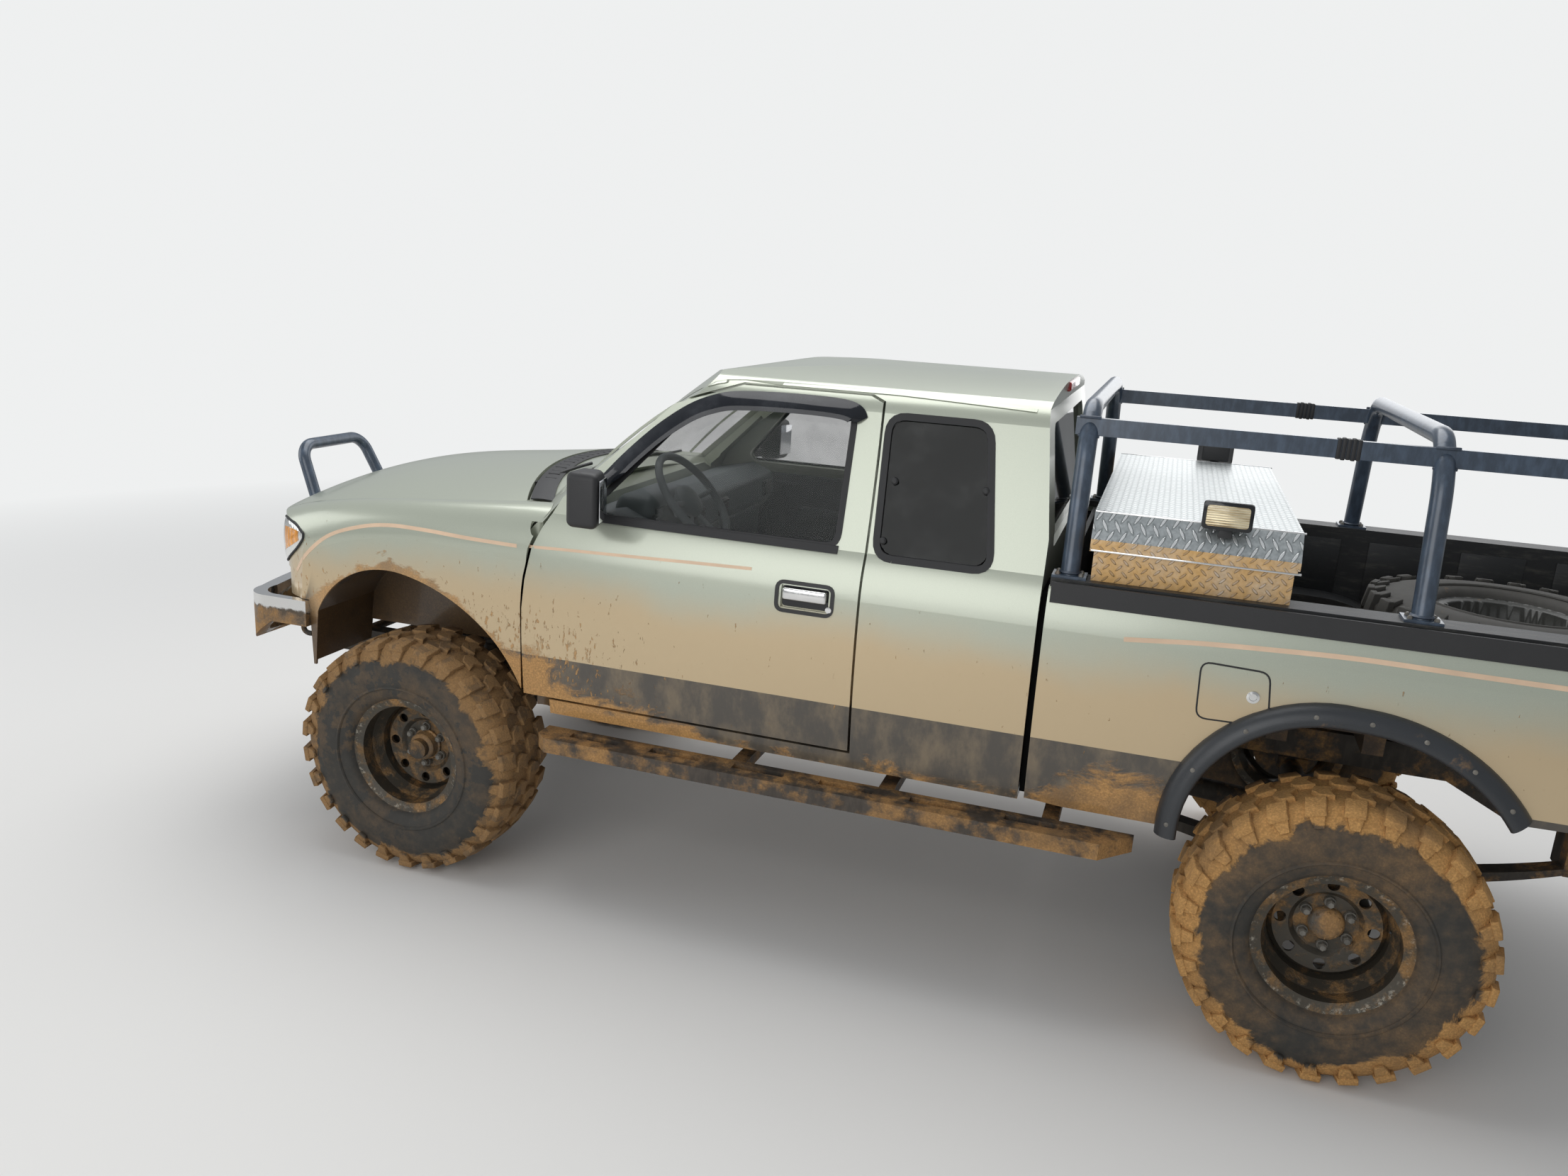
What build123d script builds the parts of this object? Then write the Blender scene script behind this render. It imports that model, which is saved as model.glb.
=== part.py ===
from build123d import *
import math
import os

# A lifted extended-cab 4x4 pickup with a bed rack, a crossover toolbox and large off-road tyres.
# Millimetres. X runs rearwards, left is -Y, Z is up from the ground.
# Pieces are drawn with X counted from the front axle and moved to the middle of the length at the end.

# Driving dimensions
wheelbase = 3096.0
front_reach = 1045.0
rear_reach = 1229.0
tyre_radius = 440.0
tyre_width = 305.0
wheel_centre_y = 800.0
hub_height = tyre_radius
body_half_width = 848.0

# Panel thicknesses and gaps
panel_gap = 8.0
door_thickness = 50.0
cab_wall = 65.0
sheet = 8.0
glass_thickness = 6.0
seat_gap = 0.3

# Body side section: heights and half widths
sill_z = 668.0
sill_y = 824.0
crease_z = 953.0
shoulder_z = 1230.0
shoulder_y = 842.0
belt_z = 1376.0
belt_y = 795.0
window_top_z = 1800.0
window_top_y = 662.0
roof_edge_z = 1872.0
roof_edge_y = 580.0
roof_z = 1914.0

# Cab
cab_front_x = 452.0
floor_thickness = 24.0
floor_z = sill_z + cab_wall + floor_thickness
cab_rear_x = 2168.0
screen_base_x = 296.0
screen_base_z = 1401.0
screen_slope = math.radians(38.0)
screen_plan_radius = 1400.0
roof_panel_y = 590.0

# Doors
door_front_x = 434.0
door_rear_x = 1617.0
door_bottom_z = 728.0
hinge_setback = 44.0
hinge_depth = 28.0
door_hinge_x = door_front_x + hinge_setback
door_hinge_y = body_half_width - hinge_depth
door_rear_radius = math.hypot(door_rear_x - door_hinge_x, hinge_depth)
door_nose_radius = math.hypot(hinge_setback, hinge_depth)
door_hinge_z = (860.0, 1130.0)

# Hood hinge, beside the cowl
hood_pivot_x = 396.0
hood_pivot_z = 1374.0

# Bed
bed_front_x = 2188.0
bed_rear_x = 4116.0
bed_floor_z = 985.0
bed_rail_z = 1352.0
bed_inner_y = 715.0
bed_wall = 16.0
bed_sill_z = 907.0
tailgate_thickness = 55.0
tailgate_bottom_z = 900.0
tailgate_hinge_x = 4164.0
tailgate_hinge_z = 915.0

# Frame
rail_y = 370.0
rail_width = 70.0
rail_height = 100.0
rail_z = 625.0
rail_front_top = 700.0
frame_rear_x = 4130.0

rear_axle_x = wheelbase
overall_length = front_reach + wheelbase + rear_reach
frame_shift = front_reach - overall_length / 2


def face_of(edges):
    return Face(Wire(edges))


def path_edges(start, steps):
    """Lines and arcs from start; a step is an end point, or a middle point and an end point."""
    edges = []
    here = start
    for step in steps:
        if len(step) == 1:
            edges.append(Edge.make_line((*here, 0), (*step[0], 0)))
        else:
            edges.append(Edge.make_three_point_arc((*here, 0), (*step[0], 0), (*step[1], 0)))
        here = step[-1]
    return edges


def closed_path(start, steps):
    return face_of(path_edges(start, steps + [(start,)] if steps[-1][-1] != start else steps))


def mirrored_path(start, steps):
    """A closed face from a half outline that starts and ends on the centre line."""
    edges = path_edges(start, steps)
    flipped = [edge.mirror(Plane.YZ) for edge in edges]
    return face_of(edges + flipped)


def polygon(points, radius=0.0):
    if radius:
        return make_face(FilletPolyline(*points, radius=radius, close=True)).face()
    return make_face(Polyline(*points, close=True)).face()


def along_x(face, x0, x1):
    """A face drawn in (y, z), extruded from x0 to x1."""
    plane = Plane(origin=(x0, 0, 0), x_dir=(0, 1, 0), z_dir=(1, 0, 0))
    return Solid.extrude(plane.location * face, Vector(x1 - x0, 0, 0))


def along_y(face, y0, y1):
    """A face drawn in (x, z), extruded from y0 to y1."""
    plane = Plane(origin=(0, y0, 0), x_dir=(1, 0, 0), z_dir=(0, -1, 0))
    return Solid.extrude(plane.location * face, Vector(0, y1 - y0, 0))


def along_z(face, z0, z1):
    """A face drawn in (x, y), extruded from z0 to z1."""
    return Solid.extrude(Location((0, 0, z0)) * face, Vector(0, 0, z1 - z0))


def block(x0, x1, y0, y1, z0, z1):
    return Pos((x0 + x1) / 2, (y0 + y1) / 2, (z0 + z1) / 2) * Box(abs(x1 - x0), abs(y1 - y0), abs(z1 - z0))


def upright(x, y, radius, z0, z1):
    return Pos(x, y, (z0 + z1) / 2) * Cylinder(radius, z1 - z0)


def across(x, z, radius, y0, y1):
    return Pos(x, (y0 + y1) / 2, z) * Rot(90, 0, 0) * Cylinder(radius, abs(y1 - y0))


def lengthways(y, z, radius, x0, x1):
    return Pos((x0 + x1) / 2, y, z) * Rot(0, 90, 0) * Cylinder(radius, abs(x1 - x0))


def rod(start, end, radius):
    start = Vector(*start)
    end = Vector(*end)
    plane = Plane(origin=start, z_dir=end - start)
    return Solid.make_cylinder(radius, (end - start).length, plane)


def bent_tube(points, bend, radius):
    """A round tube along straight runs with rounded corners."""
    path = FilletPolyline(*points, radius=bend)
    start = Vector(*points[0])
    direction = Vector(*points[1]) - start
    ring = Plane(origin=start, z_dir=direction) * Circle(radius)
    return sweep(ring, path=path)


def mirror_y(shape):
    return mirror(shape, about=Plane.XZ)


# Cab and body side sections
# Half width, height, and the outward direction in which the wall's thickness is counted
section_points = [
    (sill_y, sill_z, 1.0, -1.0),
    (body_half_width, crease_z, 1.0, 0.0),
    (shoulder_y, shoulder_z, 1.0, 0.05),
    (826.0, 1310.0, 0.95, 0.25),
    (belt_y, belt_z, 0.97, 0.28),
    (window_top_y, window_top_z, 0.95, 0.30),
    (633.0, 1844.0, 0.80, 0.60),
    (roof_edge_y, roof_edge_z, 0.45, 0.89),
    (300.0, 1908.0, 0.10, 1.0),
    (0.0, roof_z, 0.0, 1.0),
]


def body_section(inset=0.0):
    sill, crease, shoulder, turn, belt, window, drip, edge, crown, top = [
        (y - inset * out_y, z - inset * out_z) for y, z, out_y, out_z in section_points
    ]
    return mirrored_path((0, sill[1]), [
        (sill,),
        (crease, shoulder),
        (turn, belt),
        (window,),
        (drip, edge),
        (crown, top),
    ])


def screen_prism(inset=0.0):
    """Everything behind the windscreen's curved, leaning outer surface."""
    lean = Vector(math.cos(screen_slope), 0, math.sin(screen_slope))
    back = inset / math.sin(screen_slope)
    half = 900.0
    sag = screen_plan_radius - math.sqrt(screen_plan_radius ** 2 - half ** 2)
    depth = 1700.0
    x0 = screen_base_x + back
    face = closed_path((x0 + sag, -half), [
        ((x0, 0), (x0 + sag, half)),
        ((x0 + 5000, half),),
        ((x0 + 5000, -half),),
    ])
    start = Location((-depth * lean.X, 0, screen_base_z - depth * lean.Z))
    return Solid.extrude(start * face, lean * (depth + 1200))


def roof_profile(inset=0.0):
    """Everything below the roof's fore-and-aft line, which falls gently towards the windscreen."""
    return closed_path((0, 0), [
        ((0, 1560 - inset),),
        ((640, 1742 - inset),),
        ((880, 1850 - inset), (1130, 1894 - inset)),
        ((1600, 1920 - inset), (2100, roof_z + 6 - inset)),
        ((2400, roof_z + 2 - inset),),
        ((2400, 0),),
        ((0, 0),),
    ])


def cab_solid(inset=0.0):
    solid = along_x(body_section(inset), screen_base_x - 200, cab_rear_x + 50)
    side = along_y(polygon([
        (cab_front_x + inset, sill_z - 10),
        (cab_front_x + inset, belt_z - 60 + inset),
        (screen_base_x + inset, belt_z - 60 + inset),
        (screen_base_x + inset, 2000),
        (2140 - inset, 2000),
        (2118 - inset, 1850),
        (cab_rear_x - inset, 1480),
        (cab_rear_x - inset, sill_z - 10),
    ]), -900, 900)
    header = along_y(roof_profile(inset), -900, 900)
    return solid & side & header & screen_prism(inset)


door_outline_points = [
    (door_front_x, door_bottom_z),
    (door_front_x, 1036),
    (445, 1147),
    (468, 1257),
    (499, 1331),
    (552, 1432),
    (905, 1770),
    (1130, 1846),
    (1560, 1846),
    (1700, 1790),
    (1700, door_bottom_z),
]
window_points = [
    (640, 1384),
    (960, 1745),
    (1125, 1808),
    (1500, 1808),
    (1522, 1785),
    (1525, 1384),
]
quarter_points = [(1650, 1368), (1632, 1795), (1952, 1795), (2010, 1368)]


def side_wall(outside, inside):
    """The cab's side wall between two depths below its outer surface, over the whole length."""
    return along_x(body_section(outside), 300, 2200) - along_x(body_section(inside), 290, 2210)


def biggest(shape):
    """Drops the crumbs that a cut leaves behind."""
    return max(shape.solids(), key=lambda solid: solid.volume)


def door_region(side, grow=0.0):
    face = polygon(door_outline_points)
    if grow:
        face = offset(face, amount=grow, kind=Kind.INTERSECTION).face()
    prism = along_y(face, side * (roof_panel_y + 4 - grow / 2), side * 900)
    swing = upright(door_hinge_x, side * door_hinge_y, door_rear_radius + grow, 600, 1950)
    return prism & swing


def door_swing_body(side, clear):
    """The space that the door's leading edge turns in about its hinge, with a running clearance."""
    profile = closed_path((0, 600), [
        ((door_nose_radius + clear, 600),), ((door_nose_radius + clear, 1045),), ((48 + clear, 1105),),
        ((42 + clear, 1155),), ((32 + clear, 1205),), ((21 + clear, 1258),), ((15 + clear, 1345),), ((0, 1345),),
        ((0, 600),),
    ])
    swept = Solid.revolve(profile, 360, Axis((0, 0, 0), (0, 1, 0)))
    return Pos(door_hinge_x, side * door_hinge_y, 0) * Rot(90, 0, 0) * swept


def make_cab():
    outer = cab_solid()
    inner = cab_solid(cab_wall)
    shell = outer - inner
    # Windscreen, back window and quarter windows
    screen_hole = screen_opening() & (screen_prism(-20) - screen_prism(cab_wall + 12))
    back_hole = back_opening()
    shell = shell - screen_hole - back_hole
    for side in (-1, 1):
        shell = shell - along_y(polygon(quarter_points, 45), side * 500, side * 900)
    nodes = {}
    pan_z = floor_z - floor_thickness
    roof_zone = block(-100, 2020, -roof_panel_y, roof_panel_y, 1470, 2100)
    back_zone = block(2020, 2400, -roof_panel_y, roof_panel_y, pan_z, 2100)
    wall_zone = block(-100, 2020, -roof_panel_y, roof_panel_y, pan_z, 1470)
    nodes["cab_roof"] = biggest(shell & roof_zone)
    nodes["cab_back"] = biggest(shell & back_zone)
    pan = block(cab_front_x + 20, cab_rear_x - cab_wall - seat_gap, -790, 790, pan_z, floor_z)
    footing = block(cab_front_x + 20, cab_front_x + 200, -roof_panel_y, roof_panel_y, pan_z, floor_z)
    pan = pan & (cab_solid(cab_wall + seat_gap) + footing)
    tunnel = along_x(polygon([(-170, 700), (-125, 880), (125, 880), (170, 700)], 20), cab_front_x, 1900)
    tunnel = tunnel & block(400, 2000, -300, 300, pan_z, 1000)
    tunnel_bore = along_x(polygon([(-158, 600), (-115, 868), (115, 868), (158, 600)], 20), 400, 1888)
    floor = ((shell & wall_zone) + pan + tunnel) - tunnel_bore
    cowl = (front_loft(16) - front_loft(30)) & block(0, 600, -hood_edge_y, hood_edge_y, 1200, 1600)
    cowl = cowl - hood_rear_plan(9) - cab_solid(6)
    for side in (-1, 1):
        cowl = cowl - (cab_solid(-seat_gap) & block(0, 600, side * (roof_panel_y - seat_gap), side * 900, 1200, 1600))
    for side in (-1, 1):
        cowl = cowl - block(300, hood_pivot_x + 19, side * (hood_edge_y - 34), side * 700, 1200, 1600)
    nodes["cab_floor"] = floor + cowl
    side = -1
    panel = shell & block(-100, 2400, side * roof_panel_y, side * 900, 500, 2100)
    panel = panel - (door_region(side, panel_gap) & side_wall(-5, door_thickness + 5))
    flange = offset(polygon(door_outline_points), amount=-22, kind=Kind.INTERSECTION).face()
    inner_swing = upright(door_hinge_x, side * door_hinge_y, door_rear_radius - 22, 600, 1950)
    panel = panel - (along_y(flange, side * 500, side * 900) & inner_swing)
    panel = panel - door_swing_body(side, 6)
    panel = panel - across(hood_pivot_x, hood_pivot_z, 18, side * 560, side * (hood_edge_y + 2))
    for z in door_hinge_z:
        for ear_z in (z - 20, z + 8):
            ear = block(door_hinge_x - 13, door_hinge_x + 13, side * 750, side * door_hinge_y, ear_z, ear_z + 12)
            panel = panel + ear + upright(door_hinge_x, side * door_hinge_y, 13, ear_z, ear_z + 12)
        panel = panel + upright(door_hinge_x, side * door_hinge_y, 7, z - 20, z + 20)
    nodes["cab_side_left"] = biggest(panel)
    nodes["cab_side_right"] = mirror_y(nodes["cab_side_left"])
    return nodes


def screen_opening(grow=0.0):
    """The windscreen's opening, seen square to the glass."""
    lean = screen_slope
    plane = Plane(origin=(screen_base_x, 0, screen_base_z), x_dir=(0, -1, 0),
                  z_dir=(-math.sin(lean), 0, math.cos(lean)))
    face = closed_path((-655 - grow, 140 - grow), [
        ((0, 90 - grow), (655 + grow, 140 - grow)),
        ((565 + grow, 640 + grow),),
        ((-565 - grow, 640 + grow),),
    ])
    body = Solid.extrude(plane.location * face, plane.z_dir * -400)
    return body + Solid.extrude(plane.location * face, plane.z_dir * 60)


def back_opening(grow=0.0):
    face = polygon([(-600, 1420), (-520, 1800), (520, 1800), (600, 1420)], 45)
    face = offset(face, amount=grow, kind=Kind.INTERSECTION).face() if grow else face
    return along_x(face, 2000, 2300)


def make_glass():
    """Windscreen, back window and quarter windows, each filling its opening."""
    skin = cab_solid(18) - cab_solid(18 + glass_thickness)
    nodes = {}
    nodes["windscreen"] = (screen_prism(18) - screen_prism(18 + glass_thickness)) & screen_opening(-seat_gap)
    nodes["back_glass"] = skin & back_opening(-seat_gap)
    quarters = []
    for side in (-1, 1):
        hole = along_y(polygon(quarter_points, 45), side * 500, side * 900)
        quarters.append(skin & hole)
    nodes["quarter_windows"] = quarters[0] + quarters[1]
    return nodes


def make_door(side):
    door = side_wall(0, door_thickness) & door_region(side)
    nose = block(0, door_hinge_x, side * 500, side * 900, 600, 1330)
    nose = nose - upright(door_hinge_x, side * door_hinge_y, door_nose_radius, 500, 1400)
    door = door - nose
    window = along_y(polygon(window_points, 30), side * 500, side * 900)
    door = door - window
    glass = side_wall(24, 24 + glass_thickness) & window
    door = door - block(1366, 1524, side * 832, side * 900, 1180, 1252)
    handle = block(1374, 1516, side * 839, side * 852, 1214, 1244)
    posts = block(1374, 1384, side * 828, side * 842, 1216, 1242)
    posts = posts + block(1506, 1516, side * 828, side * 842, 1216, 1242)
    for z in door_hinge_z:
        door = door - block(400, door_hinge_x + 22, side * 700, side * (door_hinge_y + 15), z - 27, z + 27)
        barrel = upright(door_hinge_x, side * door_hinge_y, 13, z - 7, z + 7)
        web = block(door_hinge_x, door_hinge_x + 30, side * (door_hinge_y - 8), side * (door_hinge_y + 8), z - 7,
                    z + 7)
        door = door + ((barrel + web) - upright(door_hinge_x, side * door_hinge_y, 7 + seat_gap, z - 30, z + 30))
    return biggest(door + handle + posts), glass


def make_mirror(side):
    shell = along_z(polygon([(668, 866), (668, 985), (784, 985), (756, 866)], 18), 1378, 1560)
    arm = polygon([(600, 730), (600, 800), (668, 900), (700, 900), (700, 866), (650, 780), (650, 730)])
    arm = along_z(arm, 1388, 1424)
    pocket = along_z(polygon([(790, 878), (752, 874), (757, 974), (800, 974)]), 1390, 1548)
    housing = (shell - pocket) + (arm - cab_outer_side())
    return mirror_y(housing) if side < 0 else housing


def cab_outer_side():
    return cab_solid(-seat_gap)


# Front end: cross-sections from nose to cowl
# x, half width, shoulder height, hood edge height, crown height
front_sections = [
    (-800.0, 762.0, 985.0, 1170.0, 1240.0),
    (-560.0, 815.0, 1085.0, 1276.0, 1352.0),
    (-280.0, 842.0, 1190.0, 1320.0, 1402.0),
    (60.0, 848.0, 1228.0, 1352.0, 1440.0),
    (560.0, 848.0, 1228.0, 1392.0, 1486.0),
]
hood_edge_y = 690.0
apron_y = 484.0
hood_thickness = 26.0
nose_x = -745.0


def front_loft(inset=0.0):
    wires = []
    for x, half_width, shoulder, edge_z, crown in front_sections:
        half_width = half_width - inset
        edge_y = hood_edge_y - inset * 0.3
        shoulder = shoulder - inset * 0.5
        edge_z = edge_z - inset
        crown = crown - inset
        bow = (edge_y + half_width) / 2 + 0.36 * (half_width - edge_y)
        bow_z = (shoulder + edge_z) / 2 + 0.36 * (edge_z - shoulder) * 0.55
        face = mirrored_path((0, sill_z), [
            ((half_width - 22, sill_z),),
            ((half_width, shoulder),),
            ((bow, bow_z), (edge_y, edge_z)),
            ((edge_y * 0.52, edge_z + (crown - edge_z) * 0.74), (0, crown)),
        ])
        plane = Plane(origin=(x, 0, 0), x_dir=(0, 1, 0), z_dir=(1, 0, 0))
        wires.append((plane.location * face).outer_wire())
    return Solid.make_loft(wires)


def nose_plan(inset=0.0):
    """The front end seen from above: a bowed nose with round corners."""
    x0 = nose_x + inset
    face = closed_path((x0, 0), [
        ((x0 + 12, 300), (x0 + 50, 560)),
        ((x0 + 95, 715), (x0 + 205, 800 - inset)),
        ((x0 + 400, 900 - inset),),
        ((1000, 900 - inset),),
        ((1000, -900 + inset),),
        ((x0 + 400, -900 + inset),),
        ((x0 + 205, -800 + inset),),
        ((x0 + 95, -715), (x0 + 50, -560)),
        ((x0 + 12, -300), (x0, 0)),
    ])
    return along_z(face, 600, 1600)


def hood_rear_plan(grow=0.0):
    """The hood's area from above: bowed at the rear to follow the windscreen."""
    face = closed_path((-900, -hood_edge_y - grow), [
        ((362 + grow, -hood_edge_y - grow),),
        ((200 + grow, 0), (362 + grow, hood_edge_y + grow)),
        ((-900, hood_edge_y + grow),),
    ])
    return along_z(face, 1000, 1600)


# The front wheel arch, from the bumper over the tyre to the sill
def front_arch(grow=0.0, y0=-900, y1=900):
    face = closed_path((-480 - grow, 600), [
        ((-440 - grow, 900),),
        ((-300 - grow * 0.7, 1050 + grow * 0.7), (-60, 1098 + grow)),
        ((170 + grow * 0.6, 1015 + grow * 0.7), (325 + grow, 890)),
        ((400 + grow, 780), (443 + grow, 683)),
        ((443 + grow, 600),),
    ])
    return along_y(face, y0, y1)


def make_front():
    outer = front_loft() & nose_plan()
    inner = front_loft(sheet) & nose_plan(sheet)
    hood_inner = front_loft(hood_thickness) & nose_plan(hood_thickness)
    nodes = {}
    hood_band = block(-900, 500, -900, 900, 1195, 1600)
    hood = (outer - hood_inner) & hood_rear_plan() & hood_band
    hood = hood - cab_solid(-10) - lamp_region(6)
    for side in (-1, 1):
        y0 = side * (hood_edge_y - 26)
        y1 = side * (hood_edge_y - 6)
        ear = block(hood_pivot_x - 50, hood_pivot_x, y0, y1, hood_pivot_z - 9, hood_pivot_z + 8)
        ear = ear + across(hood_pivot_x, hood_pivot_z, 9, y0, y1)
        hood = hood + (ear - across(hood_pivot_x, hood_pivot_z, 5 + seat_gap, side * 600, side * 720))
    nodes["hood"] = biggest(hood)
    lamp_zone = lamp_region(6)
    for side, name in ((-1, "left"), (1, "right")):
        zone = block(-900, 560, side * 470, side * 900, 683, 1600)
        skin = (outer - inner) & zone
        skin = skin - hood_rear_plan(8) - front_arch()
        # The cowl behind the hood stays open down to the cab's own cowl plate
        skin = skin - block(300, 560, side * 400, side * (hood_edge_y + 8), 1220, 1600)
        skin = skin - lamp_zone - block(-900, -600, side * 400, side * 900, 600, 1035)
        skin = skin - block(-900, -480, side * 400, side * 900, 600, 936)
        skin = skin - block(-900, -560, -600, 600, 600, 1600)
        rear_cut = offset(polygon(door_outline_points), amount=panel_gap, kind=Kind.INTERSECTION).face()
        rear_cut = along_y(rear_cut, side * 500, side * 900)
        skin = skin - rear_cut - cab_solid(-1)
        swing = door_swing_body(side, 6)
        skin = skin - swing
        # Inner liner over the wheel, joined to the skin at the arch lip
        liner = front_arch(0, side * apron_y, side * (body_half_width - sheet / 2))
        liner = front_arch(sheet, side * apron_y, side * (body_half_width - sheet / 2)) - liner
        liner = liner - block(-900, 900, -900, 900, 0, 700) - block(-900, -478, -900, 900, 0, 940)
        liner = liner - rear_cut - cab_solid(-1) - swing
        apron = block(-520, 400, side * apron_y, side * (apron_y + sheet), 785, 1215)
        pin = across(hood_pivot_x, hood_pivot_z, 5, side * (hood_edge_y - 26), side * (hood_edge_y + 14))
        pad = block(hood_pivot_x - 30, hood_pivot_x + 12, side * (hood_edge_y + 6), side * (hood_edge_y + 18),
                    hood_pivot_z - 14, hood_pivot_z + 60) & outer
        fender = biggest(skin + (liner & outer) + apron + pin + pad)
        nodes["fender_" + name] = fender - lamp_region(3) - lamp_region()
    return nodes


def lamp_region(grow=0.0):
    """Headlamp and corner lamp: a wrap-round band beside the grille."""
    parts = []
    for side in (-1, 1):
        face = polygon([
            (-800, 1052 - grow), (-672, 1036 - grow), (-610 + grow, 1118),
            (-534 + grow, 1176 + grow), (-600, 1226 + grow), (-800, 1200 + grow),
        ])
        parts.append(along_y(face, side * (480 - grow), side * 900))
    return parts[0] + parts[1]


def make_face_pieces():
    outer = front_loft() & nose_plan()
    deep = front_loft(70) & nose_plan(70)
    nodes = {}
    lamps = (front_loft(2) & nose_plan(2)) - deep
    nodes["headlamps"] = lamps & lamp_region()
    grille_zone = block(-800, -600, -479.7, 479.7, 1010, 1180)
    shell = (outer - (front_loft(40) & nose_plan(40))) & grille_zone
    for row in range(4):
        z = 1038 + row * 36
        shell = shell - block(-800, -600, -430, -20, z, z + 22)
        shell = shell - block(-800, -600, 20, 430, z, z + 22)
    support = block(-672, -640, -479.7, 479.7, 880, 1190) - block(-700, -600, -400, 400, 940, 1150)
    for side in (-1, 1):
        support = support + block(-672, -640, side * 340, side * 400, rail_front_top, 890)
    nodes["grille"] = shell + support
    return nodes


def make_bumper():
    outer = closed_path((-480, 838), [
        ((-660, 840),),
        ((-735, 815), (-770, 735)),
        ((-840, 380), (-850, 0)),
        ((-840, -380), (-770, -735)),
        ((-735, -815), (-660, -840)),
        ((-480, -838),),
        ((-480, -806),),
        ((-640, -806),),
        ((-700, -780), (-726, -700)),
        ((-786, -360), (-796, 0)),
        ((-786, 360), (-726, 700)),
        ((-700, 780), (-640, 806)),
        ((-480, 806),),
        ((-480, 838),),
    ])
    bar = along_z(outer, 740, 934)
    trim = along_y(polygon([(-470, 600), (-470, 836), (-640, 836), (-760, 742), (-900, 700), (-900, 600)]), -900, 900)
    bar = bar - trim
    brackets = block(-800, -720.3, 340, 400, 610, 900) + block(-800, -720.3, -400, -340, 610, 900)
    return bar + brackets


def make_hoop():
    half = 225
    foot_z = 934.3
    points = [(-822, -half, foot_z - 20), (-925, -half, 1190), (-1016, -half + 30, 1392),
              (-1016, half - 30, 1392), (-925, half, 1190), (-822, half, foot_z - 20)]
    tube = bent_tube(points, [250, 80, 80, 250], 24)
    tube = tube - block(-1100, -700, -400, 400, 800, foot_z)
    for side in (-1, 1):
        tube = tube + block(-842, -798, side * (half - 34), side * (half + 34), foot_z, foot_z + 8)
    return tube


# Bed
def bed_side_solid(inset=0.0):
    return along_x(body_section(inset), bed_front_x, bed_rear_x + tailgate_thickness + 10)


rear_arch_x = 3070.0


def rear_arch(grow=0.0, y0=-900, y1=900):
    face = closed_path((2612 - grow, 600), [
        ((2612 - grow, 700),),
        ((2740 - grow * 0.8, 985 + grow * 0.6), (rear_arch_x, 1098 + grow)),
        ((3330 + grow * 0.7, 1030 + grow * 0.8), (3505 + grow, 872)),
        ((3505 + grow, 600),),
    ])
    return along_y(face, y0, y1)


def make_bed():
    nodes = {}
    band = block(bed_front_x, bed_rear_x + tailgate_thickness + 8, -900, 900, 600, bed_rail_z)
    outer = bed_side_solid() & band
    inner = bed_side_solid(20)
    for side, name in ((-1, "left"), (1, "right")):
        zone = block(bed_front_x, 4200, side * bed_inner_y, side * 900, 600, 1400)
        skin = (outer - inner) & zone
        lower = along_y(polygon([
            (2100, 500), (2100, 676), (2199, 676), (2591, 647), (3000, 640), (3400, 640),
            (3510, 866), (4240, 880), (4240, 500)]), side * 500, side * 900)
        skin = skin - lower - rear_arch()
        rail = block(bed_front_x, bed_rear_x + 63, side * (bed_inner_y + 1), side * 812, bed_rail_z - 22, bed_rail_z)
        front = block(bed_front_x, bed_front_x + 20, side * bed_inner_y, side * 900, 700, bed_rail_z) & outer
        post = block(bed_rear_x + 2, bed_rear_x + 60, side * 722, side * 815, 880, bed_rail_z) & outer
        pin = across(tailgate_hinge_x, tailgate_hinge_z, 7, side * 692, side * 740)
        nodes["bedside_" + name] = skin + rail + front + post + pin
    floor = block(bed_front_x + 22, bed_rear_x - 2, -bed_inner_y, bed_inner_y, bed_floor_z - 18, bed_floor_z)
    wall_x = bed_front_x + 22
    front_wall = block(wall_x, wall_x + bed_wall, -bed_inner_y, bed_inner_y, bed_floor_z, bed_rail_z)
    tub = floor + front_wall
    for side in (-1, 1):
        wall_y = side * (bed_inner_y - bed_wall)
        wall = block(bed_front_x + 22, bed_rear_x - 2, wall_y, side * bed_inner_y, bed_floor_z - 18, bed_rail_z + 24)
        cap = block(bed_front_x + 2, bed_rear_x - 2, wall_y, side * 806, bed_rail_z, bed_rail_z + 24)
        cap = cap + block(bed_rear_x - 3, bed_rear_x + 60, side * 722, side * 806, bed_rail_z, bed_rail_z + 24)
        house_out = rear_arch(22, side * 560, side * bed_inner_y) & block(2000, 4000, -900, 900, bed_floor_z - 18, 1300)
        house_in = rear_arch(6, side * 576, side * 900)
        tub = (tub + wall + cap + house_out) - house_in
    for index in range(7):
        x = 2330 + index * 270
        rib = block(x, x + 60, -bed_inner_y + 40, bed_inner_y - 40, bed_sill_z, bed_floor_z - 17)
        tub = tub + rib - rear_arch(6, -900, -576) - rear_arch(6, 576, 900)
    nodes["bed_tub"] = tub
    # Black flares round the rear arches
    flares = []
    for side in (-1, 1):
        ring = rear_arch(34, side * 812, side * 892) - rear_arch(-30, side * 700, side * 900)
        ring = ring & block(2500, 3540, -900, 900, 655, 1300) - block(3300, 3600, -900, 900, 600, 880)
        ring = ring - bed_side_solid(-seat_gap)
        flares.append(ring)
    nodes["wheel_flares"] = flares[0] + flares[1]
    return nodes


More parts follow.
